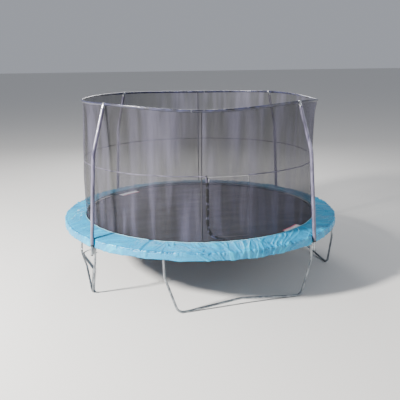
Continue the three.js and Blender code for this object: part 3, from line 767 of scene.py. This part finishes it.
# %% Net shape
def net_fold(angle, height):
    """How far the fabric stands out from the net's plain surface."""
    around = Vector((math.cos(angle), math.sin(angle), 0)) * NET_RADIUS
    slant = Matrix.Rotation(0.07 * (height - 1.7) * noise.noise(around * 0.9), 3, "Z") @ around
    broad = noise.noise(slant * 3.4 + Vector((0, 0, height * 0.30)))
    middle = noise.noise(slant * 8.5 + Vector((0, 0, 7 + height * 0.45)))
    fine = noise.noise(slant * 26 + Vector((0, 0, 3 + height * 0.8)))
    top = ring_height(angle)
    hung = smooth(top, top - 0.30, height)
    tied = 0.45 + 0.55 * smooth(0.0, 0.25, abs(height - NET_SEAM_HEIGHT))
    foot = 0.30 + 0.70 * smooth(NET_FOOT - 0.03, NET_FOOT + 0.25, height)
    gather = smooth(top - 0.40, top - 0.02, height) * 0.0030 * noise.noise(around * 24)
    return (broad * 0.024 + middle * 0.016 + fine * 0.003) * hung * tied * foot + gather


def pole_nearness(angle):
    turns = (angle - POLE_ANGLE) / quarter
    away = abs(turns - round(turns)) * quarter * NET_RADIUS
    return 1 - smooth(0.02, 0.10, away)


def net_point(angle, height):
    top = ring_height(angle)
    share = min(max((height - NET_FOOT) / (top - NET_FOOT), 0), 1)
    pulled = give(angle, RING_DENTS) * smooth(0.25, 1.0, share)
    pulled += give(angle, NET_BELLIES) * math.sin(math.pi * share)
    lift = smooth(top - 0.20, top, height) * (0.0175 - 0.019 * pole_nearness(angle))
    out = min(net_fold(angle, height), 0.013)
    return polar(angle, NET_RADIUS - pulled + lift + out, height)


def net_panel(angles, low, high, rows):
    """A panel of net from the height low(angle) to high(angle)."""
    origin = NET_SEAM_ANGLE * NET_RADIUS

    def place(i, j):
        angle = angles[j]
        bottom, top = low(angle), high(angle)
        height = bottom + (top - bottom) * i / (rows - 1)
        return net_point(angle, height), (angle * NET_RADIUS - origin, height)

    return grid_mesh(rows, len(angles), place, flip=True)


def net_top(angle):
    return ring_height(angle) - 0.020


def corner_line(angle):
    """The lower edge of the doorway, with its rounded corner at the zip's side."""
    share = min((angle - DOOR_LEFT) * NET_RADIUS / CORNER_WIDTH, 1)
    return DOOR_SILL + CORNER_HEIGHT * (1 - math.sqrt(max(1 - (1 - share) ** 2, 0)))


def net_foot(angle):
    return NET_FOOT


corner_end = DOOR_LEFT + CORNER_WIDTH / NET_RADIUS
corner_angles = [DOOR_LEFT + (corner_end - DOOR_LEFT) * (i / 14) ** 2 for i in range(15)]
door_angles = corner_angles + steps(corner_end, DOOR_RIGHT, 36)[1:]
left_angles = steps(NET_SEAM_ANGLE, DOOR_LEFT, 6)
right_angles = steps(DOOR_RIGHT, NET_SEAM_ANGLE + math.pi, 420)
back_angles = steps(NET_SEAM_ANGLE + math.pi, NET_SEAM_ANGLE + TURN, 460)

ROWS = 60
front_panels = [
    net_panel(left_angles, net_foot, net_top, ROWS),
    net_panel(right_angles, net_foot, net_top, ROWS),
    net_panel(door_angles, lambda a: DOOR_HEAD, net_top, 30),
    net_panel(door_angles, net_foot, corner_line, 8),
]
net_front = show("net_front_mesh", joined(front_panels), net_black, nodes=["net_front"])
net_back = show(
    "net_back_mesh", net_panel(back_angles, net_foot, net_top, ROWS), net_black, nodes=["net_back"]
)
print("net halves:", len(net_front.data.polygons), "and", len(net_back.data.polygons), "faces")


# %% [markdown]
# ## Seams of the net
# Each seam is a thin strip of tape that lies on the net. It could be painted on, but a strip with a
# thickness of its own catches the light as a real seam does.

# %% Seams of the net
def on_net(s, z, proud):
    """A point on the net, s round it and z above the ground, standing proud of it."""
    angle = s / NET_RADIUS
    return net_point(angle, z) + polar(angle, proud, 0)


def ribbon(line, width, proud=0.0022, thickness=0.0012, closed=False):
    """A strip of tape that lies on the net along line, a list of (length round the net, height)."""
    def place(i, j):
        s, z = line[i]
        before, after = line[max(i - 1, 0)], line[min(i + 1, len(line) - 1)]
        way = Vector((after[0] - before[0], after[1] - before[1])).normalized()
        side = Vector((-way.y, way.x))
        step, lift = ((-1, 0), (1, 0), (1, 1), (-1, 1))[j]
        at = Vector((s, z)) + side * step * width / 2
        return on_net(at.x, at.y, proud + lift * thickness), (s, z)
    return grid_mesh(len(line), 4, place, closed_columns=True)


for name, angle in (("front", NET_SEAM_ANGLE), ("back", NET_SEAM_ANGLE + math.pi)):
    line = [(angle * NET_RADIUS, z) for z in steps(NET_FOOT, net_top(angle), 120)]
    show(f"net_seam_{name}", ribbon(line, 0.016, proud=0.0008), webbing)
level = [(a * NET_RADIUS, NET_SEAM_HEIGHT + 0.007) for a in steps(DOOR_RIGHT, DOOR_LEFT + TURN, 1100)]
show("net_seam_level", ribbon(level, 0.013, proud=0.0008), seam_cloth)
print("net seams at", NET_SEAM_HEIGHT, "m and at two sides")

# %% [markdown]
# ## Door and zip
# The doorway is closed by a flap of the same net. Its free edge zips to the frame's side of the
# doorway: each side has a strip of tape with a row of teeth, and one slider closes them.

# %% Door
def door_low(angle):
    return corner_line(angle) + DOOR_GAP


edge = DOOR_GAP / NET_RADIUS
flap_angles = [a + edge * (1 - 2 * (a - DOOR_LEFT) / (DOOR_RIGHT - DOOR_LEFT)) for a in door_angles]
flap = net_panel(flap_angles, door_low, lambda a: DOOR_HEAD - DOOR_GAP, 48)
net_door = show("net_door_mesh", flap, net_black, body="door", nodes=["net_door"])


def zip_line(offset, start, end):
    """Points along the doorway's zip edge, offset into the flap, from the height start down to end."""
    line = []
    turn_height = DOOR_SILL + CORNER_HEIGHT
    for height in steps(start, max(end, turn_height), 60):
        line.append((DOOR_LEFT * NET_RADIUS + offset, height))
    if end < turn_height:
        for i in range(1, 25):
            swing = math.pi / 2 * i / 24
            s = DOOR_LEFT * NET_RADIUS + CORNER_WIDTH * (1 - math.cos(swing))
            z = DOOR_SILL + CORNER_HEIGHT * (1 - math.sin(swing))
            normal = Vector((math.cos(swing) / CORNER_WIDTH, math.sin(swing) / CORNER_HEIGHT)).normalized()
            line.append((s + normal.x * offset, z + normal.y * offset))
    return line


def teeth(line, pitch, size):
    """A row of small teeth along line."""
    blocks, left = [], 0
    for (s0, z0), (s1, z1) in zip(line, line[1:]):
        length = math.hypot(s1 - s0, z1 - z0)
        at = left
        while at < length:
            s, z = s0 + (s1 - s0) * at / length, z0 + (z1 - z0) * at / length
            ahead = on_net(s1, z1, 0.0036) - on_net(s0, z0, 0.0036)
            outward = polar(s / NET_RADIUS, 1, 0)
            blocks.append(standing(on_net(s, z, 0.0036), ahead, across=outward) @ size_matrix(*size))
            at += pitch
        left = at - length
    return block_mesh(blocks)


zip_top = DOOR_HEAD + 0.02
frame_tape = zip_line(-0.0094, zip_top, DOOR_SILL)
flap_tape = zip_line(0.0094, DOOR_HEAD - DOOR_GAP, DOOR_SILL)
show("zip_tape_frame", ribbon(frame_tape, 0.018), zip_cloth)
show("zip_tape_door", ribbon(flap_tape, 0.017), zip_cloth, body="door")
show("zip_teeth_frame", teeth(zip_line(-0.001, zip_top, DOOR_SILL), 0.007, (0.004, 0.003, 0.0035)), plastic)
show(
    "zip_teeth_door",
    teeth(zip_line(0.0035, DOOR_HEAD - DOOR_GAP, DOOR_SILL), 0.007, (0.004, 0.003, 0.0035)),
    plastic,
    body="door",
)
tail_start = (DOOR_LEFT * NET_RADIUS + CORNER_WIDTH, DOOR_SILL)
tail = [(tail_start[0] + 0.10 * t, tail_start[1] - 0.030 * t * t - 0.004 * t) for t in steps(0, 1, 12)]
show("zip_tail", ribbon(tail, 0.022), webbing)
print("door", round((DOOR_RIGHT - DOOR_LEFT) * NET_RADIUS, 3), "m wide, zip tape", len(frame_tape), "steps")

# %% [markdown]
# ## Zip slider
# The slider is three small blocks: the body that closes the teeth, the bridge over it and the tab to
# pull. Its place comes from the frame's own slider, so that it moves with it.

# %% Slider
slider_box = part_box("zip_slider")
slider_middle = Vector([(low + high) / 2 for low, high in zip(*slider_box)])
slider_angle = math.atan2(slider_middle.x, -slider_middle.y)
slider_top = slider_box[1][2]
slider_at = polar(slider_angle, NET_RADIUS + 0.0058, slider_top - 0.010)
facing = Matrix.Rotation(slider_angle, 4, "Z")
body_block = Matrix.Translation(slider_at) @ facing @ size_matrix(0.011, 0.0066, 0.020)
bridge_at = slider_at + polar(slider_angle, 0.0040, 0)
bridge = Matrix.Translation(bridge_at) @ facing @ size_matrix(0.004, 0.0020, 0.013)
tab_at = slider_at + polar(slider_angle, 0.0045, -0.019)
tab = Matrix.Translation(tab_at) @ facing @ size_matrix(0.006, 0.0016, 0.030)
slider = block_mesh([body_block, bridge, tab], 0.0006)
show("zip_slider_metal", slider, zinc, body="zip_pull", nodes=["zip_slider"])
print("zip slider at", [round(x, 3) for x in slider_at])

# %% [markdown]
# ## Foot of the net
# Below the pad's inner edge the net is tied down to the mat, so on the real net this strip has to
# stretch when the mat goes down. It is its own sheet, on no body, running down from the net towards the mat.

# %% Net foot
FOOT_ROWS, FOOT_COLUMNS = 8, 900


def foot_place(i, j):
    angle = NET_SEAM_ANGLE + TURN * j / FOOT_COLUMNS
    share = i / (FOOT_ROWS - 1)
    height = NET_FOOT + (NET_LOWEST - NET_FOOT) * share
    point = net_point(angle, height)
    tie = abs(math.sin(angle * SPRING_COUNT / 4))
    inward = 0.014 * share * share + 0.006 * share * (1 - tie)
    return point - polar(angle, inward, 0), ((angle - NET_SEAM_ANGLE) * NET_RADIUS, height)


foot_mesh = grid_mesh(FOOT_ROWS, FOOT_COLUMNS, foot_place, closed_columns=True)
net_hem = show("net_foot_mesh", foot_mesh, net_black, body=None)
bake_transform(net_hem)
print("net foot with", len(foot_mesh.polygons), "faces")


# %% [markdown]
# ## Mat
# The mat is one tight disc of woven plastic. It isn't quite flat: the springs' pull leaves faint
# ripples near the edge. Its edge is folded under a sewn band of webbing that holds a wire ring for
# each spring.

# %% Mat
def mat_height(radius, angle):
    around = Vector((math.cos(angle), math.sin(angle), 0)) * radius
    ripple = math.cos(angle * SPRING_COUNT) * 0.0006 * smooth(1.55, 1.80, radius)
    return MAT_TOP - 0.0022 + noise.noise(around * 1.6) * 0.0011 + ripple


radii = [0.0, 0.02] + steps(0.10, 1.70, 32) + steps(1.715, MAT_RADIUS - 0.0015, 12)
MAT_SIDES = 528


def mat_place(i, j):
    angle = TURN * j / MAT_SIDES
    top = i < len(radii)
    radius = radii[i] if top else radii[2 * len(radii) - 1 - i]
    height = mat_height(radius, angle) - (0 if top else 0.0024)
    return polar(angle, radius, height), (polar(angle, radius, 0).x, polar(angle, radius, 0).y)


disc = joined(
    [grid_mesh(2 * len(radii), MAT_SIDES, mat_place, closed_rows=True, closed_columns=True)]
)
mat = show("jumping_mat_cloth", outward(disc), mat_black, body="mat", nodes=["jumping_mat"])

BAND_SIDES = 704
band_profile = [(1.822, 0.0003), (1.824, 0.0012), (1.866, 0.0012), (1.868, 0.0003)]


def band_place(i, j):
    angle = TURN * j / BAND_SIDES
    radius, lift = band_profile[i]
    return polar(angle, radius, mat_height(radius, angle) + lift), (angle * radius, radius)


band = grid_mesh(len(band_profile), BAND_SIDES, band_place, closed_columns=True, flip=True)
show("mat_band", band, webbing, body="mat")

STITCH_COUNT = 700
stitches = []
for radius in (1.829, 1.861):
    for j in range(STITCH_COUNT):
        a, b = TURN * j / STITCH_COUNT, TURN * (j + 0.65) / STITCH_COUNT
        middle = polar((a + b) / 2, radius, mat_height(radius, a) + 0.0014)
        stitch_size = size_matrix((b - a) * radius, 0.0016, 0.0007)
        stitches.append(Matrix.Translation(middle) @ Matrix.Rotation(a, 4, "Z") @ stitch_size)
thread, *_ = material("thread", rgb(112, 110, 124), 0.6, "mat_weave")
show("mat_stitches", block_mesh(stitches), thread, body="mat")
print("mat", 2 * MAT_RADIUS, "m across, with", len(stitches), "stitches")

# %% [markdown]
# ## Rings on the mat
# A wire ring sewn into the webbing takes each spring's hook. It is a closed line of four corners.

# %% Mat rings
rings = []
for i in range(SPRING_COUNT):
    angle = TURN * (i + 0.5) / SPRING_COUNT + math.pi / 2
    corners = [(1.855, -0.011), (1.855, 0.011), (1.8845, 0.0015), (1.8845, -0.0015)]
    line = [polar(angle + side / radius, radius, 0.8432) for radius, side in corners]
    rings.append(even(line, 0.0016))
show("mat_rings", tube_curve(rings, closed=True, sides=1), zinc, body="mat")
print(len(rings), "wire rings")

# %% [markdown]
# ## Springs
# Each spring is a close coil of wire with a hook at each end. One coil is worked out once along a
# line and copied to its place. It hooks onto the rail at one end and onto a ring of the mat at the other.

# %% Springs
COIL_START, COIL_END = 1.902, 2.052
COIL_TURNS = 26
SPRING_HEIGHT = 0.8430
WIRE = 0.0013
WIRE_SIDES = 5
COIL_RADIUS = 0.0056


def spring_line():
    """The wire's middle line, as (radius from the trampoline's centre, sideways, upwards)."""
    line = [(1.8800, 0, -0.0022), (1.8835, 0, -0.0034), (1.8880, 0, -0.0012), (1.8940, 0, 0.0)]
    for i in range(COIL_TURNS * 8 + 1):
        swing = TURN * i / 8
        share = i / (COIL_TURNS * 8)
        open_up = smooth(0, 0.03, share) * smooth(1, 0.97, share)
        radius = 0.001 + (COIL_RADIUS - 0.001) * open_up
        along = COIL_START + (COIL_END - COIL_START) * share
        line.append((along, radius * math.cos(swing), radius * math.sin(swing)))
    line += [(2.0600, 0, 0.0), (2.0710, 0, 0.0010), (2.0785, 0, 0.0005), (2.0795, 0, -0.0060)]
    return [Vector(point) for point in line]


wire_line = spring_line()


def wire_place(i, j):
    point = wire_line[i]
    way = (wire_line[min(i + 1, len(wire_line) - 1)] - wire_line[max(i - 1, 0)]).normalized()
    outward = Vector((0, point.y, point.z + 1e-4)).normalized()
    outward = (outward - way * outward.dot(way)).normalized()
    swing = TURN * j / WIRE_SIDES
    return point + (outward * math.cos(swing) + way.cross(outward) * math.sin(swing)) * WIRE, (0, 0)


coil = grid_mesh(len(wire_line), WIRE_SIDES, wire_place, closed_columns=True, flip=True)
for i in range(SPRING_COUNT):
    angle = TURN * (i + 0.5) / SPRING_COUNT
    data = coil.copy()
    data.transform(Matrix.Translation((0, 0, SPRING_HEIGHT)) @ Matrix.Rotation(angle, 4, "Z"))
    name = f"spring_{i + 1:02d}"
    spring = show(name, data, spring_wire, body=None, nodes=["springs"])
    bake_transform(spring)
bpy.data.meshes.remove(coil)
print(SPRING_COUNT, "springs of", len(wire_line), "points")


# %% [markdown]
# ## Safety pad
# The pad is foam inside coated fabric, with a skirt of the fabric alone hanging outside the rail. It
# could be a simulated cloth, but on a ring thirteen metres round that would take some two hundred
# thousand cells. Instead its section is drawn once, carried round, and creased by layers of noise: puckers
# along the outer fold, creases across the top, waves along the hem. Where a pole passes, the skirt is
# drawn in behind it and the creases run towards it.

# %% Pad shape
FOLD = 0.318
PAD_COLUMNS = 900
PAD_INSIDE = 1.8385
FOLD_CENTRE = 2.1335
FOLD_HEIGHT = 0.8535
FOLD_RADIUS = 0.0135
PAD_WIDTH = FOLD_CENTRE - PAD_INSIDE
SKIRT_RADIUS = FOLD_CENTRE + FOLD_RADIUS
SKIRT_DROP = 0.0945
LINING_RISE = 0.080


def section_points():
    """The section as (radius, height, outward radius, outward height, distance over the top, kind)."""
    points = []
    for t in steps(0, 1, 30):
        height = 0.9010 - 0.0340 * t + 0.004 * math.sin(math.pi * t)
        points.append((PAD_INSIDE + PAD_WIDTH * t, height, 0.11, 0.99, PAD_WIDTH * t, "top"))
    for swing in steps(0, math.pi / 2, 7)[1:]:
        radius = FOLD_CENTRE + FOLD_RADIUS * math.sin(swing)
        height = FOLD_HEIGHT + FOLD_RADIUS * math.cos(swing)
        over = PAD_WIDTH + FOLD_RADIUS * swing
        points.append((radius, height, math.sin(swing), math.cos(swing), over, "top"))
    for t in steps(0, 1, 9)[1:]:
        drop = SKIRT_DROP * t
        points.append((SKIRT_RADIUS, FOLD_HEIGHT - drop, 1, 0, 0.316 + drop, "skirt"))
    points.append((2.1455, 0.7578, 0.7, -0.7, 0.412, "skirt"))
    for t in steps(0, 1, 7):
        points.append((2.1435, 0.7592 + LINING_RISE * t, -1, 0, 0.410 - LINING_RISE * t, "lining"))
    for t in steps(0, 1, 12):
        points.append((2.1390 - 0.2950 * t, 0.8425 + 0.0315 * t, 0, -1, 0, "under"))
    for swing in steps(0, math.pi, 6)[1:-1]:
        radius, height = 1.8440 - 0.0110 * math.sin(swing), 0.8870 - 0.0130 * math.cos(swing)
        points.append((radius, height, -math.sin(swing), -math.cos(swing), 0, "edge"))
    return points


pad_section = section_points()


def pole_offset(angle):
    """The signed distance round the pad from the nearest pole."""
    turns = (angle - POLE_ANGLE) / quarter
    return (turns - round(turns)) * quarter * 2.14


def crease(value):
    return 1 - min(abs(value) * 3.2, 1)


def pad_wrinkle(angle, over):
    """How far the fabric stands out from the pad's plain section."""
    around = Vector((math.cos(angle), math.sin(angle), 0)) * 2.1
    lift = Vector((0, 0, over))
    slow = noise.noise(around * 1.7 + lift * 3)
    middle = noise.noise(around * 6.5 + lift * 5 + Vector((0, 0, 4)))
    twist = noise.noise(around * 2.4 + lift * 2.0 + Vector((0, 0, 9))) * 0.12
    along = Matrix.Rotation(twist + over * 0.6 * math.sin(angle * 5), 3, "Z") @ around
    folds = crease(noise.noise(along * 7.5 + lift * 2.0 + Vector((0, 0, 21))))
    sharp = crease(noise.noise(along * 15 + lift * 8.0 + Vector((0, 0, 33))))
    fold_near = math.exp(-(((over - FOLD + 0.004) / 0.030) ** 2))
    pucker = noise.noise(around * 21 + lift * 7 + Vector((0, 0, 50)))
    ruche = noise.noise(around * 38 + lift * 10 + Vector((0, 0, 60)))
    inner = smooth(0, 0.05, over)
    patchy = 0.5 + noise.noise(around * 1.3 + Vector((0, 0, 70)))
    wrinkle = slow * 0.0040 + middle * 0.0070
    wrinkle += (folds * folds * 0.0100 - sharp * sharp * 0.0085 * patchy) * inner
    wrinkle += fold_near * (pucker * 0.0130 + ruche * 0.0075)
    valley = math.exp(-(((over - FOLD + 0.034) / 0.008) ** 2)) * (-0.0060 + pucker * 0.005)
    away = pole_offset(angle)
    inward = max(FOLD - over, 0)
    distance = math.hypot(away, inward)
    rays = math.cos(math.atan2(away, inward + 0.01) * 9 + slow * 4)
    drawn = math.exp(-((distance / 0.13) ** 2)) * smooth(0, 0.02, distance)
    return wrinkle + valley + rays * 0.0055 * drawn


def pad_place_at(angle, item):
    radius, height, out_r, out_z, over, kind = item
    around = Vector((math.cos(angle), math.sin(angle), 0)) * 2.1
    away = abs(pole_offset(angle))
    pinch = 1 - smooth(0.020, 0.085, away)
    hang = smooth(0.30, 0.412, over)
    wrinkle = 0.0
    if kind in ("top", "skirt"):
        wrinkle = pad_wrinkle(angle, over)
        radius += out_r * wrinkle
        height += out_z * wrinkle
    flap = noise.noise(around * 4.2) * 0.0050 + noise.noise(around * 11) * 0.0040
    if kind in ("skirt", "lining"):
        radius += flap * hang
        height += noise.noise(around * 3.3 + Vector((0, 0, 80))) * 0.007 * hang
    outer = 0.0 if kind in ("top", "skirt") else 0.0022
    behind_pole = pole_radial(height) - SLEEVE_RADIUS - 0.0012
    limit = 2.1570 + (behind_pole - 2.1570) * pinch - outer
    radius = min(radius, limit)
    if kind in ("skirt", "lining") and height < 0.845:
        radius = max(radius, 2.1198 + (0.0014 if kind == "skirt" else 0))
    if kind == "top" and over > 0.2:
        height -= 0.006 * pinch * smooth(0.2, FOLD, over)
    return radius, height, wrinkle


def pad_half(start):
    columns = PAD_COLUMNS + 1
    count = len(pad_section)
    relief_shade = []

    def place(i, j):
        angle = start + math.pi * j / PAD_COLUMNS
        radius, height, raised = pad_place_at(angle, pad_section[i])
        # How far the fabric stands proud, kept for the pad's painted highlight and painted shade.
        relief_shade.append(0.5 + raised * 28)
        end = min(j, PAD_COLUMNS - j) / PAD_COLUMNS * math.pi * 2.0
        closing = 1 - smooth(0, 0.030, end)
        level = 0.8425 + (0.8920 - 0.8425) * (2.14 - radius) / 0.31
        if pad_section[i][5] in ("top", "edge", "under"):
            height += (level - height) * closing * 0.55
        gap = 0.0008 if j == 0 else -0.0008 if j == PAD_COLUMNS else 0
        return polar(angle + gap / 2, radius, height), (angle * 2.1, pad_section[i][4])

    mesh = grid_mesh(count, columns, place, closed_rows=True, flip=True)
    mesh.attributes.new("relief_shade", "FLOAT", "POINT").data.foreach_set("value", relief_shade)
    return outward(mesh, close=True)


pad_front = show("pad_front_cover", pad_half(PAD_SEAM_ANGLE - math.pi), pad_blue, nodes=["pad_front"])
pad_back = show("pad_back_cover", pad_half(PAD_SEAM_ANGLE), pad_blue, nodes=["pad_back"])
print("pad halves with", len(pad_front.data.polygons), "faces each")

# %% [markdown]
# ## Cloth patches on the mat
# Two plain patches of pale cloth are sewn flat on the mat's edge, opposite each other.

# %% Patches
PATCH_WIDTH = 0.126


def patch_mesh(start, end):
    angles = steps(math.radians(start), math.radians(end), 24)

    def place(i, j):
        step, lift = ((0, 0), (1, 0), (1, 1), (0, 1))[j]
        radius = 1.668 + PATCH_WIDTH * step
        curl = 0.003 * max(0, noise.noise(Vector((angles[i] * 8, step, 5)))) + 0.0035
        height = mat_height(radius, angles[i]) + curl + 0.0006 * lift
        return polar(angles[i], radius, height), (angles[i], PATCH_WIDTH * step)

    return grid_mesh(len(angles), 4, place, closed_columns=True, flip=True)


for name, start, end in (("patch_front", 27.5, 40.0), ("patch_back", 205.5, 218.5)):
    show(name, patch_mesh(start, end), patch_white, body="mat")
print("two patches sewn on the mat")

# %% [markdown]
# ## Pad piping
# A pale cord is sewn along the pad's inner edge. Its pale colour is a painted highlight, the line of
# light along the lit inner edge. It is placed by the pad's own section, so that it follows every wave of it.

# %% Pad piping
piping = []
for start in (PAD_SEAM_ANGLE - math.pi, PAD_SEAM_ANGLE):
    line = []
    for j in range(0, PAD_COLUMNS + 1, 2):
        angle = start + math.pi * j / PAD_COLUMNS
        radius, height, _ = pad_place_at(angle, pad_section[0])
        line.append((polar(angle, radius - 0.0045, height - 0.0012), 0.0036))
    piping.append(line[3:-3])
show("pad_piping", tube_curve(piping, sides=2), piping_blue)
print("piping of", len(piping), "lengths")

# %% [markdown]
# ## Sheets
# The door's width and area are worked out from the sizes.

door_width = (DOOR_RIGHT - DOOR_LEFT) * NET_RADIUS
door_area = door_width * (DOOR_HEAD - DOOR_SILL)

# %% [markdown]
# ## Studio
# A pale floor, a large soft lamp on the trampoline's left, a weaker one on its right and a pale sky.

# %% Stage, lights and camera
bpy.ops.mesh.primitive_plane_add(size=400)
floor = bpy.context.object
floor.name = "floor"
floor_paint, *_ = material("floor_paint", rgb(214, 213, 210), 0.8)
floor.data.materials.append(floor_paint)

world = bpy.data.worlds.new("studio")
bpy.context.scene.world = world
world.use_nodes = True
world.node_tree.nodes["Background"].inputs["Color"].default_value = (0.86, 0.90, 1.0, 1)
world.node_tree.nodes["Background"].inputs["Strength"].default_value = 0.42


def lamp(name, location, target, size, power, colour=(1, 1, 1)):
    data = bpy.data.lights.new(name, "AREA")
    data.shape = "DISK"
    data.size = size
    data.energy = power
    data.color = colour
    light = bpy.data.objects.new(name, data)
    bpy.context.scene.collection.objects.link(light)
    light.location = location
    light.rotation_euler = (Vector(target) - Vector(location)).to_track_quat("-Z", "Y").to_euler()


lamp("key", (-11.0, -3.4, 7.2), (0, 0, 1.0), 1.4, 6800, (1.0, 0.97, 0.93))
lamp("fill", (7.0, -6.0, 4.0), (0, 0, 1.0), 5.0, 260, (0.92, 0.95, 1.0))
lamp("rim", (2.0, 9.0, 6.5), (0, 0, 1.2), 4.0, 500)

camera_data = bpy.data.cameras.new("camera")
camera = bpy.data.objects.new("camera", camera_data)
bpy.context.scene.collection.objects.link(camera)
camera_data.lens = 47.8
camera.location = (-2.458, -8.041, 3.175)
aim = (Vector((0, 0, 0.999)) - camera.location).to_track_quat("-Z", "Y").to_matrix().to_4x4()
camera.matrix_world = Matrix.Translation(camera.location) @ aim @ Matrix.Rotation(math.radians(-0.55), 4, "Z")
bpy.context.scene.camera = camera
print("camera", round((camera.location - Vector((0, 0, 1))).length, 2), "m from the trampoline")
